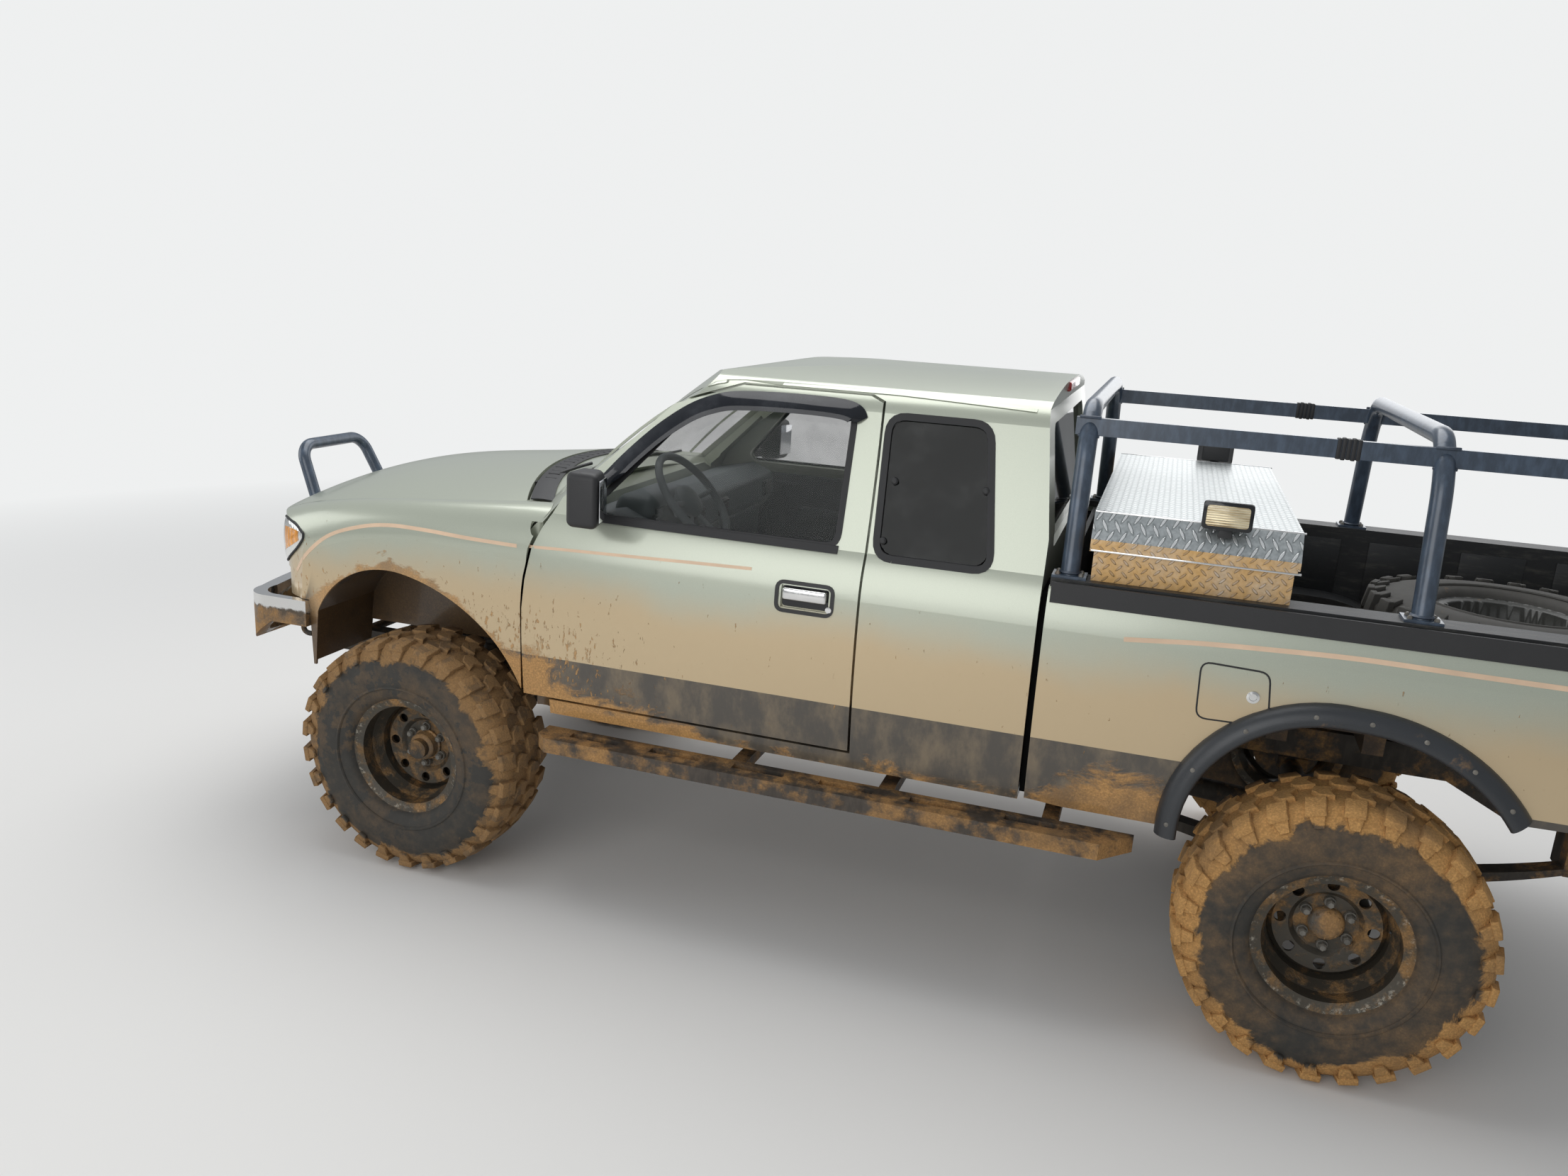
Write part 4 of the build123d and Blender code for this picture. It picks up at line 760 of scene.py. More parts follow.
def upper_side(z):
    """Half the cab's width at a height on its flat window plane."""
    return 0.795 - (z - 1.376) * (0.3137 if z > 1.376 else 0.42)


def band(names, line, width, side, height=0.002, sink=0.002, level=None):
    """A thin strip laid on the side of the body along a line of (x, z) points."""
    places = []
    fallback = None
    for index, here in enumerate(line):
        before, after = Vector(line[max(index - 1, 0)]), Vector(line[min(index + 1, len(line) - 1)])
        ahead = (after - before).normalized()
        out = Vector((-ahead.y, ahead.x)) * width / 2
        pair = []
        for sign in (-1, 1):
            spot = Vector(here) + out * sign
            y = side * level(spot.y) if level else skin(names, spot.x, spot.y, side)
            fallback = y if y is not None else fallback
            pair.append((spot.x, fallback, spot.y))
        places.append(pair)
    known = next(pair[1][1] for pair in places if pair[1][1] is not None)
    def place(column, row):
        x, y, z = places[row][column]
        return (x, (known if y is None else y) - side * sink, z)
    piece = sheet(1, len(line) - 1, place)
    drawn_out((0, side * (sink + height), 0))
    face_out(0.00002)
    return piece


def eased(points, per=6):
    """A rounded run of (x, z) places through a few given ones."""
    out = []
    for i in range(len(points) - 1):
        p0 = Vector(points[max(i - 1, 0)])
        p1, p2 = Vector(points[i]), Vector(points[i + 1])
        p3 = Vector(points[min(i + 2, len(points) - 1)])
        for step in range(per):
            t = step / per
            out.append(0.5 * ((2 * p1) + (p2 - p0) * t + (2 * p0 - 5 * p1 + 4 * p2 - p3) * t * t
                              + (3 * p1 - p0 - 3 * p2 + p3) * t ** 3))
    out.append(Vector(points[-1]))
    return [(p.x, p.y) for p in out]


def rounded(points, radius, steps=5):
    """A closed outline with its corners rounded; the first place is repeated at the end."""
    out = []
    count = len(points)
    for index in range(count):
        before, here, after = (Vector(points[(index + k) % count]) for k in (-1, 0, 1))
        a = here + (before - here).normalized() * min(radius, (before - here).length * 0.45)
        b = here + (after - here).normalized() * min(radius, (after - here).length * 0.45)
        for step in range(steps + 1):
            t = step / steps
            out.append(tuple(a * (1 - t) ** 2 + here * 2 * t * (1 - t) + b * t * t))
    return out + [out[0]]


def patch(names, outline, side, height=0.002, sink=0.002, level=None):
    """A thin flat piece with a drawn (x, z) outline, laid on the side of the body."""
    clear_selection()
    count = len(outline)
    bpy.ops.mesh.primitive_circle_add(vertices=count, radius=1, fill_type="TRIFAN")
    piece = bpy.context.object
    mesh = piece.data
    centre = (sum(p[0] for p in outline) / count, sum(p[1] for p in outline) / count)
    hub = max(range(len(mesh.vertices)), key=lambda i: -mesh.vertices[i].co.length)
    ring = [i for i in range(len(mesh.vertices)) if i != hub]
    flat = skin(names, *centre, side) or side * 0.8
    for i, (x, z) in zip([hub] + ring, [centre] + list(outline)):
        y = side * level(z) if level else skin(names, x, z, side)
        mesh.vertices[i].co = (x, (y if y is not None else flat) - side * sink, z)
    drawn_out((0, side * (sink + height), 0))
    face_out()
    return piece


def screw(place, axis, radius=0.006, height=0.004, sides=12):
    """A domed fastener head; a height below zero points it the other way."""
    return turned([(0, 0), (0, radius), (height * 0.6, radius * 0.9), (height, radius * 0.45), (height, 0)],
                  place, axis, sides)


def plumped(piece, voxel=0.012, pressure=4.0, cap=0.014):
    """Swells a cushion with cloth under pressure, so that its sides pull in between its corners."""
    modifier(piece, "REMESH", mode="VOXEL", voxel_size=voxel)
    rest = [point.co.copy() for point in piece.data.vertices]
    cloth = piece.modifiers.new("Cloth", "CLOTH")
    cloth.settings.use_pressure = True
    cloth.settings.uniform_pressure_force = pressure
    cloth.settings.effector_weights.gravity = 0.0
    cloth.settings.quality = 4
    scene = bpy.context.scene
    for step in range(1, 21):
        scene.frame_set(step)
    only(piece)
    bpy.ops.object.modifier_apply(modifier="Cloth")
    for point, start in zip(piece.data.vertices, rest):
        moved = point.co - start
        if moved.length > cap:
            point.co = start + moved.normalized() * cap
    scene.frame_set(1)
    modifier(piece, "SMOOTH", factor=0.5, iterations=3)
    modifier(piece, "SUBSURF", levels=1, render_levels=1)
    return piece


def sewn(piece, seam, depth=0.007, width=0.008):
    """Presses a seam into a cushion: seam gives a point's distance from the stitch line, or None off it."""
    mesh = piece.data
    pushes = []
    for point in mesh.vertices:
        away = seam(point.co)
        if away is not None and abs(away) < width * 3:
            pushes.append((point, point.normal * (-depth * math.exp(-(away / width) ** 2))))
    for point, push in pushes:
        point.co = point.co + push
    return piece


# Stage


class PICKUP_OT_stage(bpy.types.Operator):
    """Adds the camera, the pale floor and the soft lights"""

    bl_idname = "pickup.stage"
    bl_label = "Stage"

    def execute(self, context):
        bpy.ops.object.select_all(action="DESELECT")
        bpy.ops.object.camera_add(location=(0, 0, 0))
        camera = context.object
        camera.name = "photo_camera"
        right = Vector((0.94688, 0.31644, 0.05731))
        down = Vector((0.13248, -0.22145, -0.96613))
        ahead = Vector((-0.29303, 0.92240, -0.25160))
        turn = Matrix((right, -down, -ahead)).transposed().to_4x4()
        turn.translation = Vector((along(2.4644), -4.2716, 2.1767))
        camera.matrix_world = turn
        camera.data.sensor_width = 36.0
        camera.data.lens = 1655.0 / 2212.0 * 36.0
        camera.data.clip_end = 200.0
        context.scene.camera = camera
        bpy.ops.mesh.primitive_plane_add(size=400.0)
        floor = context.object
        floor.name = "floor"
        pale = bpy.data.materials.new("pale_floor")
        pale.use_nodes = True
        tree = pale.node_tree
        shader = tree.nodes["Principled BSDF"]
        shader.inputs["Base Color"].default_value = (0.72, 0.71, 0.69, 1)
        shader.inputs["Roughness"].default_value = 0.9
        coords = tree.nodes.new("ShaderNodeTexCoord")
        far = tree.nodes.new("ShaderNodeVectorMath")
        far.operation = "LENGTH"
        tree.links.new(coords.outputs["Object"], far.inputs[0])
        reach = tree.nodes.new("ShaderNodeMapRange")
        reach.inputs["From Min"].default_value = 3.6
        reach.inputs["From Max"].default_value = 9.0
        tree.links.new(far.outputs["Value"], reach.inputs["Value"])
        seen = tree.nodes.new("ShaderNodeLightPath")
        share = tree.nodes.new("ShaderNodeMath")
        share.operation = "MULTIPLY"
        tree.links.new(seen.outputs["Is Camera Ray"], share.inputs[0])
        tree.links.new(reach.outputs[0], share.inputs[1])
        glow = tree.nodes.new("ShaderNodeEmission")
        glow.inputs["Color"].default_value = (0.86, 0.87, 0.87, 1)
        blend = tree.nodes.new("ShaderNodeMixShader")
        tree.links.new(share.outputs[0], blend.inputs[0])
        tree.links.new(shader.outputs[0], blend.inputs[1])
        tree.links.new(glow.outputs[0], blend.inputs[2])
        tree.links.new(blend.outputs[0], tree.nodes["Material Output"].inputs[0])
        floor.data.materials.append(pale)
        for name, spot, aim, size, watts in (
            ("sky_light", (-1.0, 1.5, 6.5), (0, 0, 1), 6.0, 330.0),
            ("left_light", (-1.5, -7.0, 3.2), (0, 0, 0.9), 5.0, 170.0),
            ("right_light", (2.5, 7.0, 3.6), (0, 0, 1), 5.0, 110.0),
            ("nose_light", (-7.5, -2.0, 3.0), (-1, 0, 1), 4.0, 80.0),
        ):
            bpy.ops.object.light_add(type="AREA", location=spot)
            lamp = context.object
            lamp.name = name
            lamp.data.size = size
            lamp.data.energy = watts
            lamp.rotation_euler = (Vector(aim) - Vector(spot)).to_track_quat("-Z", "Y").to_euler()
        world = bpy.data.worlds.new("studio")
        context.scene.world = world
        world.use_nodes = True
        tree = world.node_tree
        rays = tree.nodes.new("ShaderNodeLightPath")
        seen = tree.nodes.new("ShaderNodeMath")
        seen.operation = "MAXIMUM"
        tree.links.new(rays.outputs["Is Camera Ray"], seen.inputs[0])
        tree.links.new(rays.outputs["Is Transmission Ray"], seen.inputs[1])
        dim = tree.nodes["Background"]
        dim.inputs["Color"].default_value = (0.86, 0.90, 0.95, 1)
        dim.inputs["Strength"].default_value = 0.42
        pale_back = tree.nodes.new("ShaderNodeBackground")
        pale_back.inputs["Color"].default_value = (0.86, 0.87, 0.87, 1)
        blend = tree.nodes.new("ShaderNodeMixShader")
        tree.links.new(seen.outputs[0], blend.inputs[0])
        tree.links.new(dim.outputs[0], blend.inputs[1])
        tree.links.new(pale_back.outputs[0], blend.inputs[2])
        tree.links.new(blend.outputs[0], tree.nodes["World Output"].inputs[0])
        context.scene.view_settings.view_transform = "Standard"
        return {"FINISHED"}


class PICKUP_OT_finishes(bpy.types.Operator):
    """Gives every solid of the frame its own finish"""

    bl_idname = "pickup.finishes"
    bl_label = "Finishes of the solids"

    def execute(self, context):
        groups = {
            "paint": ("cab_floor", "cab_roof", "cab_side_left", "cab_side_right", "cab_back", "fender_left",
                      "fender_right", "grille", "bedside_left", "bedside_right", "hood",
                      "door_left", "door_right", "tailgate"),
            "frame": ("ladder_frame", "engine_block", "driveline", "exhaust", "fuel_tank", "front_suspension",
                      "rear_axle", "leaf_springs", "knuckle_left", "knuckle_right"),
            "glass": ("windscreen", "door_glass_left", "door_glass_right"),
            "dark_glass": ("back_glass", "quarter_windows"),
            "dash": ("dashboard", "steering_wheel"),
            "seat": ("seats",),
            "headlamp": ("headlamps",),
            "lamp": ("work_lamps",),
            "chrome": ("front_bumper", "rear_bumper"),
            "rack": ("front_hoop", "bed_rack"),
            "liner": ("bed_tub",),
            "flare": ("wheel_flares",),
            "red": ("tail_lamps",),
            "plate": ("toolbox_body", "toolbox_lid"),
            "spare": ("spare_wheel",),
            "step": ("side_steps",),
            "trim": ("mirror_left", "mirror_right"),
            "wheel": tuple(f"rim_{end}_{side}" for end in ("front", "rear") for side in ("left", "right")),
            "tyre": tuple(f"tyre_{end}_{side}" for end in ("front", "rear") for side in ("left", "right")),
        }
        for key, members in groups.items():
            for node in members:
                dress(node, key)
        return {"FINISHED"}


class PICKUP_OT_tyres(bpy.types.Operator):
    """Models the mud-terrain tyres: carcass, sidewall ribs and tread lugs"""

    bl_idname = "pickup.tyres"
    bl_label = "Tyres"

    def execute(self, context):
        look = context.scene.pickup_look
        pattern = self.tread(look)
        places = []
        for end, x in (("front", front_x), ("rear", rear_x)):
            for side, sign in SIDES:
                places.append((f"tyre_{end}_{side}", f"wheel_{end}_{side}", x, sign * wheel_y, hub_z, sign))
        for node, body, x, y, z, sign in places:
            tyre = copied(pattern, flip_y=sign < 0)
            tyre.data.transform(Matrix.Translation((x, y, z)))
            settle(tyre, "tread_" + node, body, "tyre", 40, replaces=(node,))
        low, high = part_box("spare_wheel")
        spare = copied(pattern)
        centre = (low + high) / 2
        spare.data.transform(Matrix.Translation((centre.x, 0, low.z + tyre_half))
                             @ Matrix.Rotation(math.pi / 2, 4, "X"))
        spare = settle(spare, "spare_tyre", "chassis", "spare", 40)
        only(pattern)
        bpy.ops.object.delete()
        return {"FINISHED"}

    def tread(self, look):
        """One tyre about the origin, its outer face towards +y."""
        crown = tyre_radius - 0.016
        half = tyre_half
        profile = [
            (half - 0.046, 0.2135), (half - 0.024, 0.221), (half - 0.012, 0.236), (half - 0.004, 0.272),
            (half - 0.001, 0.306), (half - 0.005, 0.345), (half - 0.014, 0.378),
            (half - 0.028, crown - 0.020),
            (half - 0.044, crown - 0.004), (half - 0.080, crown), (0.04, crown + 0.001),
            (-0.04, crown + 0.001),
        ]
        profile += [(-a, r) for a, r in reversed(profile[:10])]
        carcass = turned(profile, (0, 0, 0), "y", 64)
        ring = turned([(half - 0.004, 0.262), (half + 0.001, 0.266), (half + 0.0005, 0.271),
                       (half - 0.004, 0.275)], (0, 0, 0), "y", 64)
        count = look.lug_count
        pitch = 2 * math.pi * tyre_radius / count
        lugs = []
        shapes = (
            # (half-way place along the tread, along the axle, length round, width, slant)
            ([(0.082, -0.30), (0.150, -0.36), (0.150, 0.20), (0.082, 0.30)], 0.0),
            ([(0.006, -0.34), (0.034, -0.44), (0.070, -0.26), (0.074, 0.16), (0.040, 0.06), (0.008, 0.26)],
             0.35),
        )
        for outline, shift in shapes:
            for sign in (1, -1):
                turn = shift + (0.5 if sign < 0 else 0.0)
                flat = [(sign * a, (b + turn) * pitch) for a, b in outline]
                lug = plate(flat, "z", 0, 0.016, 0)
                for point in lug.data.vertices:
                    a, b, lift = point.co
                    wide = abs(a) / 0.150
                    top = tyre_radius - 0.004 * wide * wide - 0.010 * max(0.0, wide - 0.72) / 0.28
                    radius = top if lift > 0.008 else crown - 0.012 - 0.016 * max(0.0, wide - 0.6)
                    draw = 0.93 if lift > 0.008 else 1.04
                    angle = (b - turn * pitch) * draw / tyre_radius + turn * pitch / tyre_radius
                    point.co = (radius * math.sin(angle), a, radius * math.cos(angle))
                lugs.append(lug)
        for sign in (1, -1):
            # Side biters run down the shoulder on every other lug
            flat = [(-0.30, 0.0), (0.20, 0.0), (0.12, -0.052), (-0.18, -0.052)]
            turn = 0.0 if sign > 0 else 0.5
            lug = plate([((a + turn) * pitch, b) for a, b in flat], "y", 0, 0.012, 0)
            for point in lug.data.vertices:
                a, lift, b = point.co
                radius = tyre_radius - 0.016 + b
                y = half - 0.012 + 0.0 if b > -0.02 else half - 0.006
                y += (0.009 if lift > 0.006 else -0.012) - (0.012 if b > -0.02 else 0.0)
                angle = a / tyre_radius
                point.co = (radius * math.sin(angle), sign * min(y, half + 0.0015), radius * math.cos(angle))
            lugs.append(lug)
        lug = joined(lugs)
        face_out()
        modifier(lug, "BEVEL", width=0.0022, segments=1, limit_method="ANGLE", angle_limit=0.7)
        bpy.ops.object.mode_set(mode="EDIT")
        bpy.ops.mesh.select_all(action="SELECT")
        bpy.ops.mesh.spin(steps=count, dupli=True, angle=2 * math.pi, center=(0, 0, 0), axis=(0, 1, 0))
        bpy.ops.mesh.select_all(action="SELECT")
        bpy.ops.mesh.remove_doubles(threshold=0.0002)
        bpy.ops.object.mode_set(mode="OBJECT")
        return joined([carcass, ring, lug])


def px(*millimetres):
    """(x, z) places given in millimetres behind the front axle and above the ground."""
    return [(along(x / 1000), z / 1000) for x, z in millimetres]


class PICKUP_OT_wheels(bpy.types.Operator):
    """Adds hub caps, locking hubs, wheel nuts and valves to the steel wheels"""

    bl_idname = "pickup.wheels"
    bl_label = "Wheel details"

    def execute(self, context):
        for end, x in (("front", front_x), ("rear", rear_x)):
            for side, sign in SIDES:
                disc = sign * (wheel_y - 0.022)
                parts = []
                for index in range(6):
                    turn = math.radians(index * 60 + 30)
                    place = (x + 0.070 * math.cos(turn), disc + sign * 0.012, hub_z + 0.070 * math.sin(turn))
                    nut = turned([(0, 0), (0, 0.0135), (0.017, 0.0135), (0.023, 0.009), (0.024, 0)],
                                 (0, 0, 0), "y", 6)
                    cone = turned([(-0.006, 0), (-0.006, 0.017), (0.002, 0.016), (0.002, 0)],
                                  (0, 0, 0), "y", 14)
                    nut = joined([nut, cone])
                    to_side(nut, sign)
                    nut.data.transform(Matrix.Translation(place))
                    parts.append(nut)
                settle(joined(parts), f"nuts_{end}_{side}", f"wheel_{end}_{side}", "nut", 30)
                if end == "front":
                    shape = [(0, 0), (0, 0.057), (0.010, 0.058), (0.014, 0.052), (0.040, 0.050),
                             (0.044, 0.047), (0.048, 0.040), (0.048, 0.031), (0.044, 0.029), (0.044, 0.012),
                             (0.054, 0.010), (0.054, 0)]
                else:
                    shape = [(0, 0), (0, 0.052), (0.012, 0.051), (0.020, 0.047), (0.026, 0.040),
                             (0.030, 0.028), (0.031, 0)]
                hub = turned(shape, (0, 0, 0), "y", 28)
                extras = []
                for index in range(8 if end == "rear" else 6):
                    turn = math.radians(index * (45 if end == "rear" else 60))
                    reach = 0.040 if end == "rear" else 0.0535
                    lift = 0.022 if end == "rear" else 0.009
                    bolt = screw((reach * math.cos(turn), lift, reach * math.sin(turn)), "y",
                                 0.0055, 0.006, 6)
                    extras.append(bolt)
                if end == "front":
                    extras.append(bar((-0.026, 0.044, -0.006), (0.026, 0.053, 0.006), 0.002))
                hub = joined([hub, *extras])
                to_side(hub, sign)
                hub.data.transform(Matrix.Translation((x, disc + sign * 0.002, hub_z)))
                settle(hub, f"hub_{end}_{side}", f"wheel_{end}_{side}", "hub", 30)
                valve = tube([(x + 0.172, disc + sign * 0.01, hub_z + 0.03),
                              (x + 0.170, disc + sign * 0.03, hub_z + 0.03),
                              (x + 0.162, disc + sign * 0.05, hub_z + 0.03)], 0.0035)
                settle(valve, f"valve_{end}_{side}", f"wheel_{end}_{side}", "trim")
        return {"FINISHED"}


class PICKUP_OT_glazing(bpy.types.Operator):
    """Adds the rubber seals, belt strips, smoked visors and window fasteners"""

    bl_idname = "pickup.glazing"
    bl_label = "Seals and visors"

    def execute(self, context):
        window = px((640, 1384), (960, 1745), (1125, 1808), (1500, 1808), (1522, 1785), (1525, 1384))
        quarter = px((1650, 1368), (1632, 1795), (1952, 1795), (2010, 1368))
        visor = px((672, 1500), (755, 1598), (855, 1696), (955, 1770), (1040, 1808), (1130, 1827),
                   (1320, 1834), (1480, 1830), (1540, 1812), (1562, 1782))
        for side, sign in SIDES:
            door, cab = [f"door_{side}"], [f"cab_side_{side}"]
            seal = band(door, rounded(window, 0.045), 0.020, sign, 0.003, 0.008, upper_side)
            settle(seal, f"window_seal_{side}", f"door_{side}", "rubber_trim")
            belt = band(door, px((634, 1380), (900, 1378), (1200, 1377), (1530, 1376)), 0.024, sign, 0.006,
                        0.006, upper_side)
            settle(belt, f"belt_strip_{side}", f"door_{side}", "rubber_trim")
            inner = band(cab, rounded(quarter, 0.055), 0.022, sign, 0.003, 0.012, upper_side)
            settle(inner, f"quarter_seal_{side}", "chassis", "rubber_trim")
            pane = [tuple(Vector(p) * 0.97 + Vector((along(1.812), 1.580)) * 0.03)
                    for p in rounded(quarter, 0.075)[:-1]]
            glass = patch(cab, pane, sign, -0.006, 0.012, upper_side)
            settle(glass, f"quarter_glass_{side}", "chassis", "tint_glass")
            pins = []
            for x, z in px((1678, 1600), (1668, 1420), (1962, 1600)):
                y = sign * (upper_side(z) - 0.006)
                pins.append(turned([(0, 0), (0, 0.011), (0.012, 0.011), (0.015, 0.006), (0.015, 0)],
                                   (x, y, z), "y", 14))
                if sign < 0:
                    pins[-1].data.transform(Matrix.Translation((0, 2 * y, 0))
                                            @ Matrix.Scale(-1, 4, (0, 1, 0)))
            settle(joined(pins), f"quarter_pins_{side}", "chassis", "trim", 30)
            strip = self.awning(eased(visor, 5), 0.058, sign)
            settle(strip, f"visor_{side}", f"door_{side}", "visor", 40)
        drip = []
        for side, sign in SIDES:
            path = px((478, 1432), (600, 1560), (760, 1694), (905, 1790), (1010, 1838), (1130, 1858),
                      (1560, 1860), (1720, 1858), (2080, 1846))
            rail = band([f"cab_side_{side}", "cab_roof"], eased(path, 3), 0.009, sign, 0.004, 0.003)
            drip.append(rail)
        settle(joined(drip), "roof_drip_rails", "chassis", "body", 40)
        return {"FINISHED"}

    def awning(self, line, width, side):
        """A curved visor: its upper edge lies on the door frame, its lower edge stands off."""
        rows = 6
        def place(column, row):
            x, z = line[column]
            before, after = Vector(line[max(column - 1, 0)]), Vector(line[min(column + 1, len(line) - 1)])
            ahead = (after - before).normalized()
            ends = min(1.0, (column + 0.5) / 4, (len(line) - 0.5 - column) / 4)
            t = row / rows
            spot = Vector((x, z)) + Vector((ahead.y, -ahead.x)) * width * t * (0.55 + 0.45 * ends)
            out = 0.003 + ends ** 0.5 * 0.027 * math.sin(t * math.pi * 0.62)
            return (spot.x, side * (upper_side(spot.y) + out), spot.y)
        piece = sheet(len(line) - 1, rows, place)
        modifier(piece, "SOLIDIFY", thickness=0.004, offset=0.0)
        only(piece)
        face_out()
        return piece


class PICKUP_OT_body_trim(bpy.types.Operator):
    """Adds handles, locks, strips of painted highlight along the body creases, the fuel door, cowl, wipers and
    the roof's brake light
    """

    bl_idname = "pickup.body_trim"
    bl_label = "Body trim"

    def execute(self, context):
        handle = px((1352, 1262), (1536, 1262), (1536, 1170), (1352, 1170))
        for side, sign in SIDES:
            door = [f"door_{side}"]
            body = f"door_{side}"
            bezel = band(door, rounded(handle, 0.024), 0.012, sign, 0.004, 0.006)
            settle(bezel, f"handle_bezel_{side}", body, "trim")
            pocket = plate(rounded(px((1368, 1250), (1522, 1250), (1522, 1182), (1368, 1182)), 0.012)[:-1],
                           "y", 0.8322, 0.0012)
            to_side(pocket, sign)
            settle(pocket, f"handle_pocket_{side}", body, "gloss_black")
            grip = bar((along(1.372), 0.8395, 1.206), (along(1.518), 0.8545, 1.246), 0.009, 3)
            lock = turned([(0, 0), (0, 0.011), (0.004, 0.010), (0.005, 0.0)],
                          (along(1.526), 0.845, 1.190), "y", 16)
            to_side(grip, sign)
            settle(grip, f"handle_{side}", body, "bright")
            to_side(lock, sign)
            settle(lock, f"lock_{side}", body, "bright")
            # Peach strips along the crease of door, fender and bedside: painted highlight where the crease
            # catches the light
            crease_highlight = eased(px((440, 1260), (520, 1263), (600, 1266), (850, 1274), (1060, 1281), (1260, 1287)),
                           5)
            settle(band(door, crease_highlight, 0.010, sign, 0.0008, 0.002), f"crease_highlight_door_{side}", body, "crease_highlight")
            nose = eased(px((-545, 1036), (-461, 1126), (-354, 1203), (-221, 1249), (-98, 1269), (51, 1270),
                            (225, 1263), (418, 1260)), 6)
            settle(band([f"fender_{side}"], nose, 0.013, sign, 0.0008, 0.002), f"crease_highlight_fender_{side}",
                   "chassis", "crease_highlight")
            bed = eased(px((2420, 1230), (2528, 1240), (2632, 1249), (2804, 1258), (3042, 1266), (3322, 1264),
                           (3900, 1262)), 5)
            settle(band([f"bedside_{side}"], bed, 0.014, sign, 0.0008, 0.002), f"crease_highlight_bed_{side}",
                   "chassis", "crease_highlight")
            shell = plate(px((668, 866), (668, 985), (784, 985), (756, 866)), "z", 1.378, 0.182, 0.024, 5)
            arm = plate(px((608, 784), (612, 815), (672, 905), (704, 905), (700, 868), (662, 786)), "z",
                        1.389, 0.034, 0.008, 3)
            housing = joined([shell, arm])
            to_side(housing, sign)
            settle(housing, f"mirror_housing_{side}", body, "trim", 40, replaces=(f"mirror_{side}",))
            glass = bar((along(0.7855), 0.884, 1.402), (along(0.7895), 0.974, 1.538), 0.006)
            for point in glass.data.vertices:
                point.co.x -= (0.985 - point.co.y) * 0.24 - 0.0035
            to_side(glass, sign)
            settle(glass, f"mirror_glass_{side}", body, "mirror")
        flap = px((2640, 1198), (2826, 1192), (2842, 1034), (2646, 1030))
        bed = ["bedside_left"]
        groove = band(bed, rounded(flap, 0.030), 0.005, -1, 0.0006, 0.003)
        settle(groove, "fuel_door_gap", "chassis", "rubber_trim")
        inner = [tuple(Vector(p) * 0.965 + Vector(px((2738, 1114))[0]) * 0.035)
                 for p in rounded(flap, 0.030)[:-1]]
        settle(patch(bed, inner, -1, 0.0022), "fuel_door", "chassis", "body")
        x, z = px((2790, 1116))[0]
        y = skin(bed, x, z, -1)
        cap = turned([(0, 0), (0, 0.019), (0.005, 0.018), (0.006, 0.011), (0.003, 0.010), (0.003, 0)],
                     (x, -y, z), "y", 20)
        to_side(cap, -1)
        settle(cap, "fuel_door_lock", "chassis", "bright")
        self.cowl()
        wipers = []
        for start, end in (((0.215, -0.46), (0.395, -0.02)), ((0.205, 0.08), (0.395, 0.52))):
            blade = []
            for step in range(7):
                t = step / 6
                y = start[1] + (end[1] - start[1]) * t
                x = 0.330 + 0.25 * y * y + 0.028 + 0.02 * math.sin(t * math.pi)
                z = self.screen_height(x, y)
                blade.append((along(x), y, z + 0.010))
            wipers.append(tube(blade, 0.0055))
            root = (along(start[0] + 0.055), start[1] - 0.02, 1.404)
            middle_point = blade[3]
            lift = Vector(middle_point) + Vector((-0.012, 0, 0.016))
            wipers.append(tube([root, tuple((Vector(root) + lift) / 2 + Vector((0, 0, 0.012))), tuple(lift)],
                               0.0065))
            wipers.append(turned([(-0.012, 0), (-0.012, 0.017), (0.012, 0.015), (0.014, 0)], root, "z", 18))
        settle(joined(wipers), "wipers", "chassis", "trim")
        back_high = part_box("cab_back")[1]
        light = bar((back_high.x - 0.070, -0.17, back_high.z - 0.040),
                    (back_high.x - 0.034, 0.17, back_high.z - 0.008), 0.006, 3)
        settle(light, "high_brake_light", "chassis", "red")
        return {"FINISHED"}

    def cowl(self):
        """The black cowl panel between hood and windscreen, with its air slots."""
        drop = Vector((0, 0, -1))
        def height(x, y):
            hit, place, _, _ = nodes["cab_floor"].ray_cast(Vector((x, y, 3)), drop)
            return place.z if hit and place.z > 1.3 else None
        def spot(share, y):
            hood_edge = 0.213 + 1.5504 - math.sqrt(1.5504 ** 2 - y * y)
            screen = 0.288 + 1.4 - math.sqrt(1.4 ** 2 - y * y)
            return along(hood_edge + (screen - hood_edge) * share)
        columns = 44
        heights = []
        for column in range(columns + 1):
            y = -0.66 + 1.32 * column / columns
            found = [height(spot(t, y), y) for t in (0.3, 0.5, 0.7)]
            found = [z for z in found if z]
            heights.append(sum(found) / len(found) if found else None)
        known = [z for z in heights if z]
        heights = [z or known[0] for z in heights]
        def place(column, row):
            y = -0.66 + 1.32 * column / columns
            return (spot(row / 6, y), y, heights[column] + 0.005 + 0.004 * math.sin(math.pi * row / 6))
        panel = sheet(columns, 6, place)
        modifier(panel, "SOLIDIFY", thickness=0.004, offset=-1.0)
        slats = []
        for index in range(22):
            y = -0.50 + index * 0.0476
            column = round((y + 0.66) / 1.32 * columns)
            z = heights[column] + 0.008
            slats.append(bar((spot(0.22, y), y, z), (spot(0.22, y) + 0.045, y + 0.012, z + 0.006), 0.002, 1))
        settle(joined([panel, *slats]), "cowl_panel", "chassis", "trim")

    def screen_height(self, x, y):
        """How high the windscreen is at a place, found on its solid."""
        hit, place, _, _ = nodes["windscreen"].ray_cast(Vector((along(x), y, 3)), Vector((0, 0, -1)))
        return place.z if hit else 1.42


